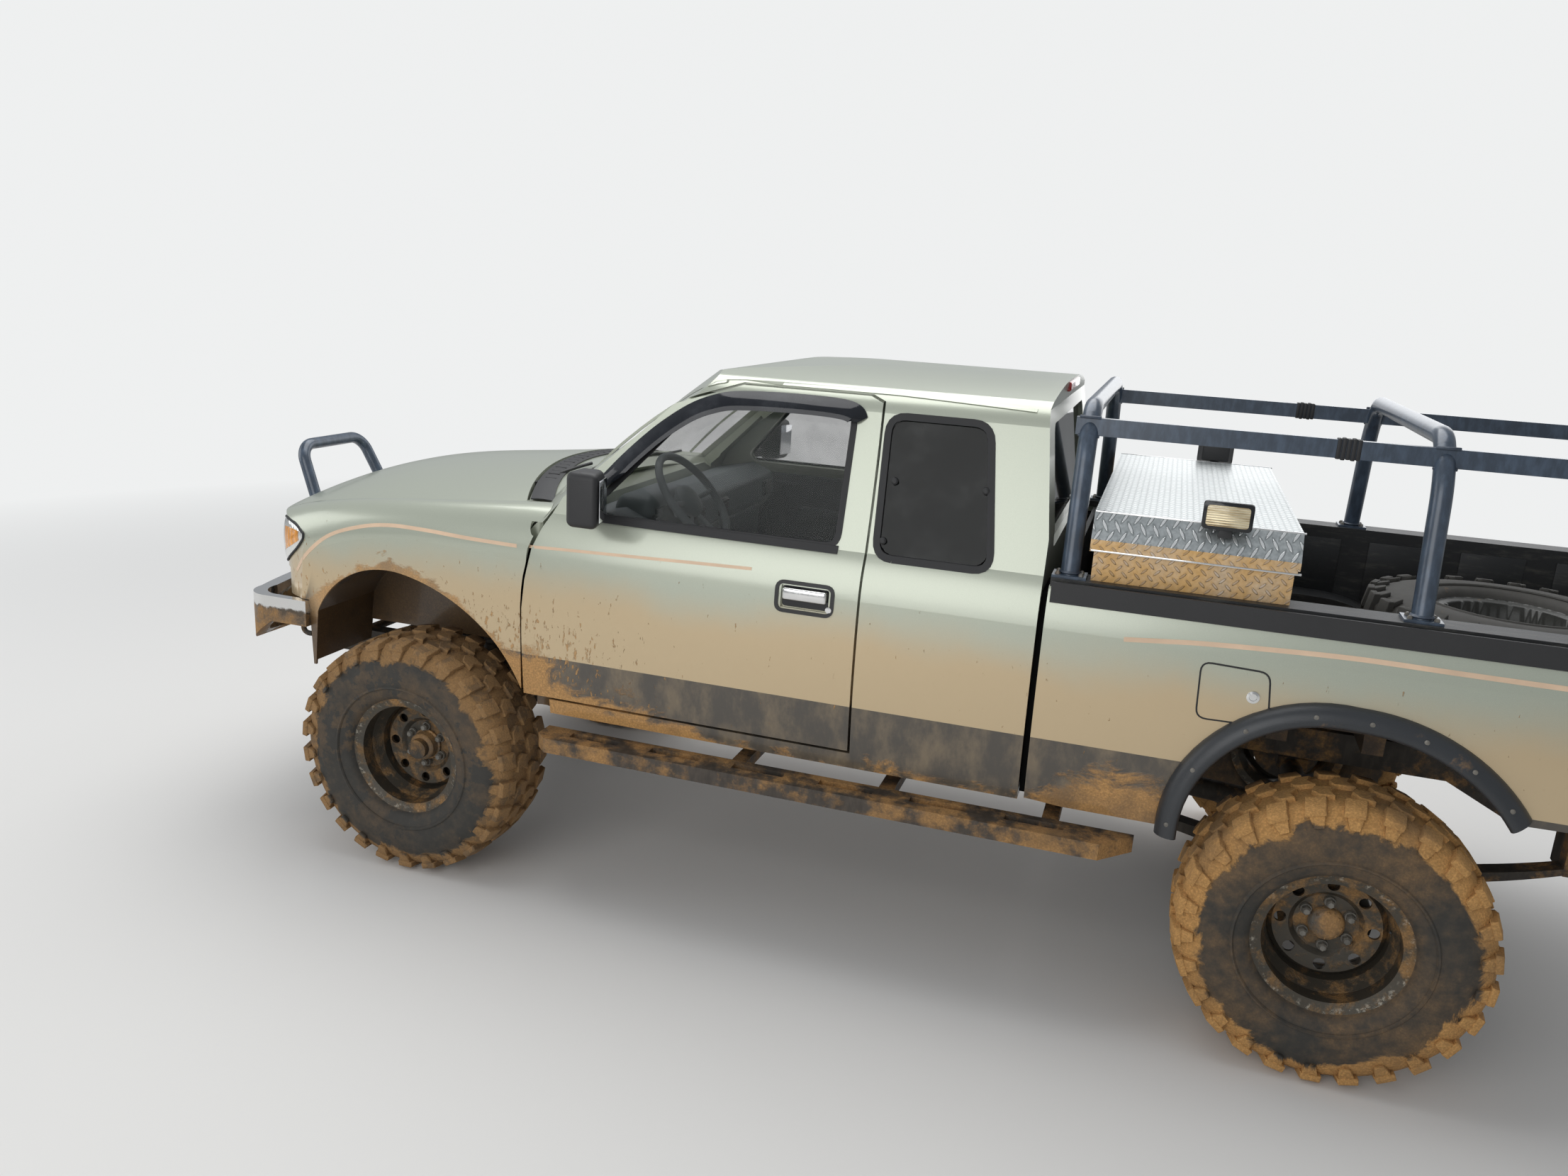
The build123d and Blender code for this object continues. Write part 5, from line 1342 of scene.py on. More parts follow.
def arc(start, middle_point, end, steps):
    """Places on the circle through three (x, z) points."""
    (ax, az), (bx, bz), (cx, cz) = start, middle_point, end
    d = 2 * (ax * (bz - cz) + bx * (cz - az) + cx * (az - bz))
    a2, b2, c2 = ax * ax + az * az, bx * bx + bz * bz, cx * cx + cz * cz
    ux = (a2 * (bz - cz) + b2 * (cz - az) + c2 * (az - bz)) / d
    uz = (a2 * (cx - bx) + b2 * (ax - cx) + c2 * (bx - ax)) / d
    radius = math.hypot(ax - ux, az - uz)
    first, last = math.atan2(az - uz, ax - ux), math.atan2(cz - uz, cx - ux)
    turn = first - last if first > last else first - last + 2 * math.pi
    angles = [first - turn * step / steps for step in range(steps + 1)]
    return [(ux + radius * math.cos(a), uz + radius * math.sin(a)) for a in angles]


class PICKUP_OT_flares(bpy.types.Operator):
    """Rounds the black flares over the rear wheels and screws them on"""

    bl_idname = "pickup.flares"
    bl_label = "Wheel flares"

    def execute(self, context):
        line = [(along(2.612), 0.656), (along(2.612), 0.678)]
        line += arc((along(2.612), 0.700), (along(2.740), 0.985), (along(3.070), 1.098), 18)
        line += arc((along(3.070), 1.098), (along(3.330), 1.030), (along(3.505), 0.872), 18)[1:]
        section = [(0.0335, 0.838), (0.0335, 0.850), (0.030, 0.862), (0.023, 0.873), (0.012, 0.8825),
                   (-0.002, 0.8885), (-0.016, 0.8905), (-0.025, 0.8875), (-0.0295, 0.880), (-0.0295, 0.836),
                   (-0.022, 0.832), (-0.018, 0.836), (0.010, 0.836)]
        for side, sign in SIDES:
            def place(column, row):
                out, y = section[column]
                here = Vector(line[row])
                ahead = (Vector(line[min(row + 1, len(line) - 1)])
                         - Vector(line[max(row - 1, 0)])).normalized()
                spot = here + Vector((-ahead.y, ahead.x)) * out
                return (spot.x, sign * y, spot.y)
            flare = sheet(len(section), len(line) - 1, place, closed=True)
            settle(flare, f"flare_{side}", "chassis", "flare", 45, replaces=("wheel_flares",))
            screws = []
            for row in (2, 7, 12, 17, 21, 26, 31, 36):
                here = Vector(line[row])
                ahead = (Vector(line[min(row + 1, len(line) - 1)])
                         - Vector(line[max(row - 1, 0)])).normalized()
                spot = here + Vector((-ahead.y, ahead.x)) * 0.002
                head = screw((0, 0, 0), "y", 0.0075, 0.003, 14)
                to_side(head, sign)
                head.data.transform(Matrix.Translation((spot.x, sign * 0.8865, spot.y)))
                screws.append(head)
            settle(joined(screws), f"flare_screws_{side}", "chassis", "nut", 30)
        return {"FINISHED"}


class PICKUP_OT_front(bpy.types.Operator):
    """Adds the lamps' inner shapes, the grille's mesh, hooks and bumper lamps"""

    bl_idname = "pickup.front"
    bl_label = "Front details"

    # Plan places round the corner, from the grille to the rear tip, with the lamp's lower and upper edge
    corner = [(-0.712, 0.488, 1.042, 1.196), (-0.702, 0.560, 1.040, 1.202), (-0.684, 0.640, 1.040, 1.208),
              (-0.655, 0.712, 1.043, 1.216), (-0.614, 0.757, 1.064, 1.226), (-0.571, 0.787, 1.094, 1.224),
              (-0.517, 0.813, 1.136, 1.212), (-0.478, 0.832, 1.172, 1.190)]

    def spot(self, sign, share, rise, lift):
        """A place on the lamp's cover: share runs round the corner, rise runs up."""
        places = [Vector(p) for p in self.corner]
        run = share * (len(places) - 1)
        index = min(int(run), len(places) - 2)
        here = Vector((0, 0, 0, 0))
        for k, weight in enumerate((1 - (run - index), run - index)):
            here = here + Vector(places[index + k]) * weight
        along_curve = places[min(index + 1, len(places) - 1)] - places[index]
        out = Vector((-along_curve[1], along_curve[0])).normalized()
        x, y = along(here[0]), here[1]
        z = here[2] + (here[3] - here[2]) * rise
        start = Vector((x + out.x * 0.3, sign * (y + out.y * 0.3), z))
        aim = Vector((-out.x, -out.y * sign, 0))
        reach = None
        for name in ("headlamps", "fender_left" if sign < 0 else "fender_right", "hood", "grille"):
            hit, place, _, _ = nodes[name].ray_cast(start, aim, distance=0.45)
            if hit and (reach is None or (place - start).length < reach):
                reach = (place - start).length
        reach = 0.3 if reach is None else min(reach, 0.32)
        crown = 0.012 * math.sin(math.pi * rise) ** 0.6 * math.sin(math.pi * min(share * 1.05, 1)) ** 0.5
        return start + aim * (reach - lift - crown)

    def valance(self, sign):
        """The panel between a lamp and the bumper."""
        columns, rows, spans = 14, 4, 4.1
        foot, tuck, bow = 0.925, 0.012, 0.010

        def place(column, row):
            run = spans * column / columns
            index = min(int(run), 4)
            here = Vector(self.corner[index]).lerp(Vector(self.corner[index + 1]), run - index)
            top = here[2] + 0.004
            z = top - (top - foot) * row / rows
            return (along(here[0] + tuck - bow * math.sin(math.pi * row / rows)), sign * (here[1] - tuck), z)
        piece = sheet(columns, rows, place)
        return thickened(piece, "x", 0.006)

    def lens(self, sign, around, up, columns, rows, lift):
        def place(column, row):
            share = around[0] + (around[1] - around[0]) * column / columns
            rise = up[0] + (up[1] - up[0]) * row / rows
            return self.spot(sign, share, rise, lift)
        piece = sheet(columns, rows, place)
        only(piece)
        face_out()
        outward = sum((face.normal.x * -1 + face.normal.y * sign) * face.area for face in piece.data.polygons)
        if outward < 0:
            piece.data.flip_normals()
        modifier(piece, "SOLIDIFY", thickness=0.004, offset=-1.0)
        return piece

    def execute(self, context):
        mesh = bar((along(-0.690), -0.44, 1.030), (along(-0.682), 0.44, 1.168), 0.003)
        parts = [mesh]
        wires, pitch = 44, 0.02
        for index in range(wires):
            y = -0.43 + index * pitch
            parts.append(bar((along(-0.696), y, 1.030), (along(-0.689), y + 0.004, 1.168), 0))
        settle(joined(parts), "grille_mesh", "chassis", "trim")
        for side, sign in SIDES:
            hook = tube([(along(-0.80), sign * 0.37, 0.69), (along(-0.87), sign * 0.37, 0.69),
                         (along(-0.90), sign * 0.37, 0.655), (along(-0.88), sign * 0.37, 0.625),
                         (along(-0.85), sign * 0.37, 0.63)], 0.011)
            settle(hook, f"tow_hook_{side}", "chassis", "frame")
        for side, sign in SIDES:
            cover = self.lens(sign, (0, 1), (0, 1), 26, 10, 0.0035)
            settle(cover, f"headlamp_cover_{side}", "chassis", "headlamp", 50)
            amber = self.lens(sign, (0.60, 0.90), (0.22, 0.80), 10, 6, 0.0050)
            settle(amber, f"corner_lamp_{side}", "chassis", "amber", 50)
            filler = self.valance(sign)
            settle(filler, f"lamp_valance_{side}", "chassis", "body", 50)
            rim = [self.spot(sign, s / 24, 0.0, 0.003) for s in range(25)]
            rim += [self.spot(sign, 1 - s / 24, 1.0, 0.003) for s in range(25)]
            settle(tube(rim, 0.0045, closed=True), f"lamp_gasket_{side}", "chassis", "rubber_trim")
        lamps = []
        for sign in (-1, 1):
            def place(column, row):
                y, z = sign * (0.45 + 0.16 * column / 8), 0.805 + 0.055 * row / 4
                hit, spot, _, _ = nodes["front_bumper"].ray_cast(Vector((along(-1.3), y, z)),
                                                                 Vector((1, 0, 0)))
                bulge = 0.005 * math.sin(math.pi * row / 4) * math.sin(math.pi * column / 8)
                return ((spot.x if hit else along(-0.84)) - 0.003 - bulge, y, z)
            lamp = sheet(8, 4, place)
            lamps.append(thickened(lamp, "x", 0.008))
        settle(joined(lamps), "bumper_lamps", "chassis", "amber")
        bolts = []
        for sign in (-1, 1):
            for dy in (-0.024, 0.024):
                bolts.append(screw((along(-0.800), sign * 0.225 + dy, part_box("front_hoop")[0].z + 0.008), "z",
                                   0.008, 0.007, 6))
        settle(joined(bolts), "hoop_bolts", "chassis", "nut")
        return {"FINISHED"}


class PICKUP_OT_bed(bpy.types.Operator):
    """Adds liner ribs, rail caps, the rack's clamps, the toolbox's trim and lamps, and the spare"""

    bl_idname = "pickup.bed"
    bl_label = "Load bed, rack and toolbox"

    def execute(self, context):
        floor_z = 0.985
        ribs = []
        for index in range(13):
            y = -0.54 + index * 0.09
            ribs.append(bar((along(2.24), y - 0.022, floor_z - 0.001),
                            (along(4.09), y + 0.022, floor_z + 0.008), 0.004))
        settle(joined(ribs), "liner_ribs", "chassis", "liner")
        for side, sign in SIDES:
            edge = []
            for x in (2.30, 2.62, 2.94, 3.26, 3.58, 3.90):
                edge.append(bar((along(x), sign * 0.6995, 1.10),
                                (along(x + 0.22), sign * 0.694, 1.33), 0.005))
            settle(joined(edge), f"liner_panels_{side}", "chassis", "liner")
            strip = band([f"bedside_{side}"], px((2196, 1339), (2700, 1339), (3300, 1339), (4170, 1339)),
                         0.062, sign, 0.004, 0.004)
            settle(strip, f"rail_strip_{side}", "chassis", "trim")
            clamps = []
            for x in (2.240, 3.192, 4.090):
                for dx in (-0.034, 0.034):
                    clamps.append(screw((along(x + dx), sign * 0.736, 1.384), "z", 0.008, 0.009, 6))
                    clamps.append(screw((along(x + dx), sign * 0.776, 1.384), "z", 0.008, 0.009, 6))
            settle(joined(clamps), f"rack_bolts_{side}", "chassis", "nut")
            beads = []
            for x in (2.240, 3.192, 4.090):
                for z in (1.788, 1.844):
                    beads.append(tube([(along(x - 0.03), sign * 0.668, z), (along(x), sign * 0.678, z),
                                       (along(x + 0.03), sign * 0.668, z)], 0.005))
                beads.append(turned([(0, 0.027), (0.006, 0.033), (0.012, 0.027)],
                                    (along(x), sign * 0.75, 1.384), "z", 20))
            settle(joined(beads), f"rack_welds_{side}", "chassis", "rack_weld")
            wraps = []
            for index in range(5):
                x = 2.915 + index * 0.013
                lean = 0.002 * (index % 2)
                wraps.append(bar((along(x), sign * 0.637, 1.787 - lean),
                                 (along(x + 0.012), sign * 0.671, 1.845 + lean), 0.003))
            settle(joined(wraps), f"rail_wrap_{side}", "chassis", "rubber_trim")
        # Matte black sheets filling the gap between cab and bed: painted shadow
        shadow_sheets = []
        for side, sign in SIDES:
            points = [(0.600, 0.690), (0.822, 0.690), (0.838, 0.953), (0.832, 1.230),
                      (0.800, 1.330), (0.600, 1.330)]
            strip = plate([(sign * y, z) for y, z in points], "x", along(2.1985), 0.0085, 0.001)
            inset = [(y - 0.010 if y > 0.7 else y, z) for y, z in points]
            shadow_sheets += [strip, plate([(sign * y, z) for y, z in inset], "x", along(2.1700), 0.0290, 0.001)]
        settle(joined(shadow_sheets), "gap_shadow_sheets", "chassis", "gap")
        self.toolbox()
        self.spare()
        return {"FINISHED"}

    def toolbox(self):
        low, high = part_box("toolbox_lid")
        trim = []
        for sign in (-1, 1):
            trim.append(bar((low.x + 0.002, sign * 0.779, low.z),
                            (high.x - 0.002, sign * 0.7845, low.z + 0.006), 0.002))
            fold = bar((low.x + 0.001, sign * 0.726, high.z - 0.003),
                       (high.x - 0.001, sign * 0.7335, high.z + 0.0015), 0.001)
            trim.append(fold)
        settle(joined(trim), "lid_edges", "toolbox_lid", "bright")
        for side, sign in SIDES:
            x0, x1 = along(2.586), along(2.722)
            z0, z1 = 1.571, 1.651
            shell = bar((x0, 0.740, z0), (x1, 0.784, z1), 0.009, 3)
            for point in shell.data.vertices:
                if point.co.y < 0.752:
                    point.co.x = (x0 + x1) / 2 + (point.co.x - (x0 + x1) / 2) * 0.78
                    point.co.z = (z0 + z1) / 2 + (point.co.z - (z0 + z1) / 2) * 0.78
            rim = plate(rounded([(x0, z0), (x1, z0), (x1, z1), (x0, z1)], 0.014)[:-1], "y",
                        0.783, 0.006, 0.002)
            foot = plate([(x0 + 0.048, 1.546), (x1 - 0.048, 1.546), (x1 - 0.052, 1.580), (x0 + 0.052, 1.580)],
                         "y", 0.754, 0.018, 0.002)
            lens = plate(rounded([(x0 + 0.010, z0 + 0.010), (x1 - 0.010, z0 + 0.010),
                                  (x1 - 0.010, z1 - 0.010), (x0 + 0.010, z1 - 0.010)], 0.010)[:-1], "y",
                         0.7875, 0.003, 0.001)
            case = joined([shell, foot])
            for piece, name, key in ((case, "work_lamp_case_", "trim"),
                                     (rim, "work_lamp_rim_", "gloss_black"),
                                     (lens, "work_lamp_lens_", "work_lens")):
                to_side(piece, sign)
                settle(piece, name + side, "toolbox_lid", key, 35,
                       replaces=("work_lamps",) if name == "work_lamp_case_" else ())
            latch = joined([
                turned([(-0.005, 0), (-0.005, 0.026), (0, 0.030), (0, 0)],
                       (along(2.302), sign * 0.46, 1.400), "x", 22),
                bar((along(2.294), sign * 0.46 - 0.022, 1.438),
                    (along(2.302), sign * 0.46 + 0.022, 1.462), 0.003)])
            settle(latch, f"box_latch_{side}", "chassis", "bright")

    def spare(self):
        low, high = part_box("spare_wheel")
        centre = (low + high) / 2
        only(nodes["rim_rear_right"])
        bpy.ops.object.duplicate(linked=False)
        rim = bpy.context.object
        for key in [k for k in rim.keys() if k.startswith("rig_")]:
            del rim[key]
        rim.parent = None
        rim.data.transform(Matrix.Translation((centre.x, 0, low.z + tyre_half))
                           @ Matrix.Rotation(math.pi / 2, 4, "X")
                           @ Matrix.Translation((-rear_x, -wheel_y, -hub_z)))
        only(rim)
        bpy.ops.object.mode_set(mode="EDIT")
        bpy.ops.mesh.select_all(action="SELECT")
        bpy.ops.mesh.remove_doubles(threshold=0.00005)
        bpy.ops.object.mode_set(mode="OBJECT")
        settle(rim, "spare_rim", "chassis", "spare_steel", 35)
        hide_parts("spare_wheel")


class PICKUP_OT_tail(bpy.types.Operator):
    """Adds the tail lamps' sections, tailgate handle, pressings and liner, bumper treads and the plate's recess
    """

    bl_idname = "pickup.tail"
    bl_label = "Tail details"

    def execute(self, context):
        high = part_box("tail_lamps")[1]
        for side, sign in SIDES:
            rows = ((0.985, 1.130, "red"), (1.134, 1.215, "amber"), (1.219, 1.300, "lamp"))
            for z0, z1, key in rows:
                piece = bar((high.x - 0.003, sign * 0.727, z0 + 0.003),
                            (high.x + 0.006, sign * 0.819, z1 - 0.001), 0.005, 3)
                settle(piece, f"tail_{key}_{side}", "chassis", key)
        gate_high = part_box("tailgate")[1]
        panel = bar((gate_high.x - 0.011, -0.125, 1.252), (gate_high.x + 0.001, 0.125, 1.330), 0.006, 3)
        pull = bar((gate_high.x - 0.004, -0.082, 1.284), (gate_high.x + 0.004, 0.082, 1.318), 0.005, 3)
        settle(joined([panel, pull]), "gate_handle", "tailgate", "trim")
        press = []
        for z in (1.03, 1.09, 1.15, 1.21):
            press.append(bar((gate_high.x - 0.016, -0.50, z - 0.012),
                             (gate_high.x - 0.010, 0.50, z + 0.012), 0.004, 3))
        settle(joined(press), "gate_pressings", "tailgate", "body")
        _, inside, _, _ = nodes["tailgate"].ray_cast(Vector((gate_high.x - 0.6, 0.3, 1.15)),
                                                     Vector((1, 0, 0)))
        liner = [bar((inside.x - 0.004, -0.60, 1.000), (inside.x + 0.002, 0.60, 1.310), 0.002)]
        for index in range(9):
            y = -0.52 + 0.13 * index
            liner.append(bar((inside.x - 0.007, y - 0.032, 1.025),
                             (inside.x - 0.002, y + 0.032, 1.285), 0.002))
        for y in (-0.57, 0.57):
            for z in (1.015, 1.295):
                liner.append(screw((inside.x - 0.004, y, z), "x", 0.007, -0.003, 12))
        settle(joined(liner), "gate_liner", "tailgate", "liner")
        bump_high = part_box("rear_bumper")[1]
        treads = []
        for y in (-0.56, 0.56):
            treads.append(bar((bump_high.x - 0.115, y - 0.17, 0.8495),
                              (bump_high.x - 0.022, y + 0.17, 0.8545), 0.002))
            for index in range(9):
                x = bump_high.x - 0.108 + index * 0.010
                treads.append(bar((x, y - 0.16, 0.854), (x + 0.004, y + 0.16, 0.857), 0))
        settle(joined(treads), "bumper_treads", "chassis", "trim")
        recess = bar((bump_high.x - 0.008, -0.155, 0.705), (bump_high.x - 0.002, 0.155, 0.790), 0.004, 2)
        settle(recess, "blank_plate_place", "chassis", "trim")
        return {"FINISHED"}


class PICKUP_OT_running_gear(bpy.types.Operator):
    """Adds coil springs, brake discs and calipers under the body"""

    bl_idname = "pickup.running_gear"
    bl_label = "Running gear"

    def execute(self, context):
        for side, sign in SIDES:
            turns, steps = 7, 10
            coil = []
            for step in range(turns * steps + 1):
                t = step / (turns * steps)
                angle = 2 * math.pi * turns * t
                coil.append((along(0.066) + 0.055 * math.cos(angle),
                             sign * 0.450 + 0.055 * math.sin(angle) * 0.62, 0.560 + 0.30 * t))
            settle(tube(coil, 0.008, ring=2, resolution=2), f"coil_spring_{side}", "chassis", "spring")
            disc = turned([(0, 0.07), (0, 0.155), (0.005, 0.157), (0.017, 0.157), (0.022, 0.155),
                           (0.022, 0.07), (0, 0.07)],
                          (front_x, sign * (wheel_y - 0.048) - 0.011, hub_z), "y", 40)
            settle(disc, f"brake_disc_{side}", f"wheel_front_{side}", "disc", 30)
            caliper = bar((front_x + 0.085, sign * (wheel_y - 0.078), hub_z - 0.02),
                          (front_x + 0.165, sign * (wheel_y - 0.022), hub_z + 0.10), 0.012, 3)
            settle(caliper, f"caliper_{side}", f"knuckle_{side}", "frame")
        return {"FINISHED"}


class PICKUP_OT_engine_bay(bpy.types.Operator):
    """Dresses the plain engine: covers, intake, battery, air cleaner, radiator, hoses and brake servo"""

    bl_idname = "pickup.engine_bay"
    bl_label = "Engine bay"

    def execute(self, context):
        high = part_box("engine_block")[1]
        top = high.z - 0.002
        # The cylinder banks' centre lines and the fan's axis
        bank, fan_z = 0.128, 0.950
        covers = []
        for sign in (-1, 1):
            covers.append(bar((along(-0.33), sign * bank - 0.062, top),
                              (along(0.19), sign * bank + 0.062, top + 0.042), 0.018, 4))
            for x in (-0.29, -0.18, -0.07, 0.04, 0.15):
                covers.append(screw((along(x), sign * bank, top + 0.042), "z", 0.009, 0.007, 6))
                covers.append(bar((along(x - 0.045), sign * bank - 0.045, top + 0.038),
                                  (along(x - 0.033), sign * bank + 0.045, top + 0.046), 0.003))
        settle(joined(covers), "rocker_covers", "chassis", "disc", 40)
        cap = turned([(0, 0), (0, 0.022), (0.006, 0.027), (0.018, 0.027), (0.022, 0.022), (0.022, 0)],
                     (along(-0.235), -bank, top + 0.040), "z", 18)
        settle(cap, "oil_cap", "chassis", "trim", 35)
        intake = [bar((along(-0.20), -0.046, top), (along(0.12), 0.046, top + 0.066), 0.020, 4)]
        for x in (-0.15, -0.04, 0.07):
            for sign in (-1, 1):
                intake.append(tube([(along(x), sign * 0.03, top + 0.045),
                                    (along(x), sign * 0.062, top + 0.058),
                                    (along(x), sign * 0.085, top + 0.030)], 0.017))
        settle(joined(intake), "intake", "chassis", "nut", 40)
        box = joined([bar((along(-0.43), 0.275, 0.960), (along(-0.13), 0.445, 1.105), 0.014, 3),
                      bar((along(-0.436), 0.269, 1.108), (along(-0.124), 0.451, 1.175), 0.020, 4),
                      *[bar((along(-0.40 + 0.05 * k), 0.290, 1.172), (along(-0.388 + 0.05 * k), 0.430, 1.181),
                            0.003) for k in range(6)]])
        settle(box, "air_cleaner", "chassis", "trim", 40)
        hose = tube([(along(-0.14), 0.36, 1.14), (along(-0.02), 0.34, 1.19), (along(0.12), 0.20, 1.262),
                     (along(0.16), 0.06, 1.262), (along(0.11), 0.0, 1.245)], 0.031, resolution=8, ring=4)
        settle(hose, "intake_hose", "chassis", "rubber_trim", 40)
        battery = joined([bar((along(-0.45), -0.455, 0.965), (along(-0.25), -0.290, 1.150), 0.006, 2),
                          bar((along(-0.45), -0.455, 1.152), (along(-0.25), -0.290, 1.166), 0.004, 2)])
        settle(battery, "battery", "chassis", "trim", 40)
        posts = []
        for y in (-0.425, -0.320):
            posts.append(turned([(0, 0), (0, 0.011), (0.018, 0.009), (0.018, 0)],
                                (along(-0.41), y, 1.164), "z", 14))
            posts.append(bar((along(-0.425), y - 0.014, 1.168), (along(-0.385), y + 0.014, 1.180), 0.003))
        settle(joined(posts), "battery_posts", "chassis", "bright", 40)
        leads = [tube([(along(-0.39), -0.425, 1.176), (along(-0.30), -0.44, 1.200),
                       (along(-0.16), -0.40, 1.12), (along(-0.12), -0.24, 1.02)], 0.007),
                 tube([(along(-0.39), -0.320, 1.176), (along(-0.33), -0.27, 1.195),
                       (along(-0.24), -0.24, 1.13), (along(-0.22), -0.22, 1.05)], 0.007)]
        settle(joined(leads), "battery_leads", "chassis", "gloss_black", 40)
        core = bar((along(-0.612), -0.350, 0.790), (along(-0.572), 0.350, 1.100), 0.004, 2)
        tanks = [bar((along(-0.620), -0.365, z), (along(-0.564), 0.365, z + 0.045), 0.014, 3)
                 for z in (0.770, 1.085)]
        neck = turned([(0, 0), (0, 0.020), (0.018, 0.020), (0.020, 0.027), (0.030, 0.027), (0.032, 0.020),
                       (0.032, 0)], (along(-0.592), -0.24, 1.126), "z", 18)
        settle(joined([core, *tanks, neck]), "radiator", "chassis", "gloss_black", 40)
        fan = turned([(0, 0.10), (0, 0.205), (0.006, 0.215), (0.075, 0.215), (0.081, 0.205), (0.081, 0.197),
                      (0.010, 0.197), (0.010, 0.10), (0, 0.10)], (along(-0.545), 0.0, fan_z), "x", 40)
        blades = []
        for index in range(7):
            blade = bar((-0.006, -0.030, 0.040), (0.006, 0.030, 0.185), 0.004)
            blade.data.transform(Matrix.Rotation(0.5, 4, "Z"))
            blade.data.transform(Matrix.Rotation(2 * math.pi * index / 7, 4, "X"))
            blade.data.transform(Matrix.Translation((along(-0.495), 0.0, fan_z)))
            blades.append(blade)
        hub = turned([(0, 0), (0, 0.050), (0.030, 0.048), (0.075, 0.030), (0.080, 0)],
                     (along(-0.505), 0.0, fan_z), "x", 24)
        settle(joined([fan, hub, *blades]), "fan", "chassis", "trim", 40)
        hoses = [tube([(along(-0.565), -0.28, 1.085), (along(-0.50), -0.27, 1.13),
                       (along(-0.44), -0.16, 1.18), (along(-0.41), -0.06, 1.17)], 0.019),
                 tube([(along(-0.565), 0.28, 0.82), (along(-0.50), 0.27, 0.84), (along(-0.44), 0.18, 0.86),
                       (along(-0.40), 0.10, 0.88)], 0.019)]
        settle(joined(hoses), "radiator_hoses", "chassis", "rubber_trim", 40)
        servo = turned([(0, 0), (0, 0.028), (0.060, 0.028), (0.062, 0.085), (0.085, 0.108), (0.120, 0.108),
                        (0.124, 0.114), (0.130, 0.114), (0.134, 0.106), (0.160, 0.090), (0.165, 0)],
                       (along(0.035), -0.350, 1.140), "x", 32)
        can = bar((along(0.045), -0.372, 1.160), (along(0.095), -0.328, 1.225), 0.010, 3)
        settle(joined([servo, can]), "brake_servo", "chassis", "gloss_black", 40)
        def under(column, row):
            x, y = along(-0.50 + 0.62 * row / 12), -0.42 + 0.84 * column / 12
            hit, spot, _, _ = nodes["hood"].ray_cast(Vector((x, y, 1.0)), Vector((0, 0, 1)), distance=0.6)
            quilt = 0.004 * abs(math.sin(math.pi * column / 3) * math.sin(math.pi * row / 3))
            return (x, y, (spot.z if hit else 1.30) - 0.002 - quilt)
        pad = sheet(12, 12, under)
        settle(thickened(pad, "z", 0.010, 1.0), "hood_pad", "hood", "pad", 40)
        bottle = bar((along(-0.02), 0.350, 0.960), (along(0.13), 0.455, 1.160), 0.022, 4)
        lid = turned([(0, 0), (0, 0.024), (0.012, 0.022), (0.014, 0)], (along(0.05), 0.40, 1.158), "z", 18)
        settle(joined([bottle, lid]), "washer_bottle", "chassis", "bottle", 40)
        return {"FINISHED"}


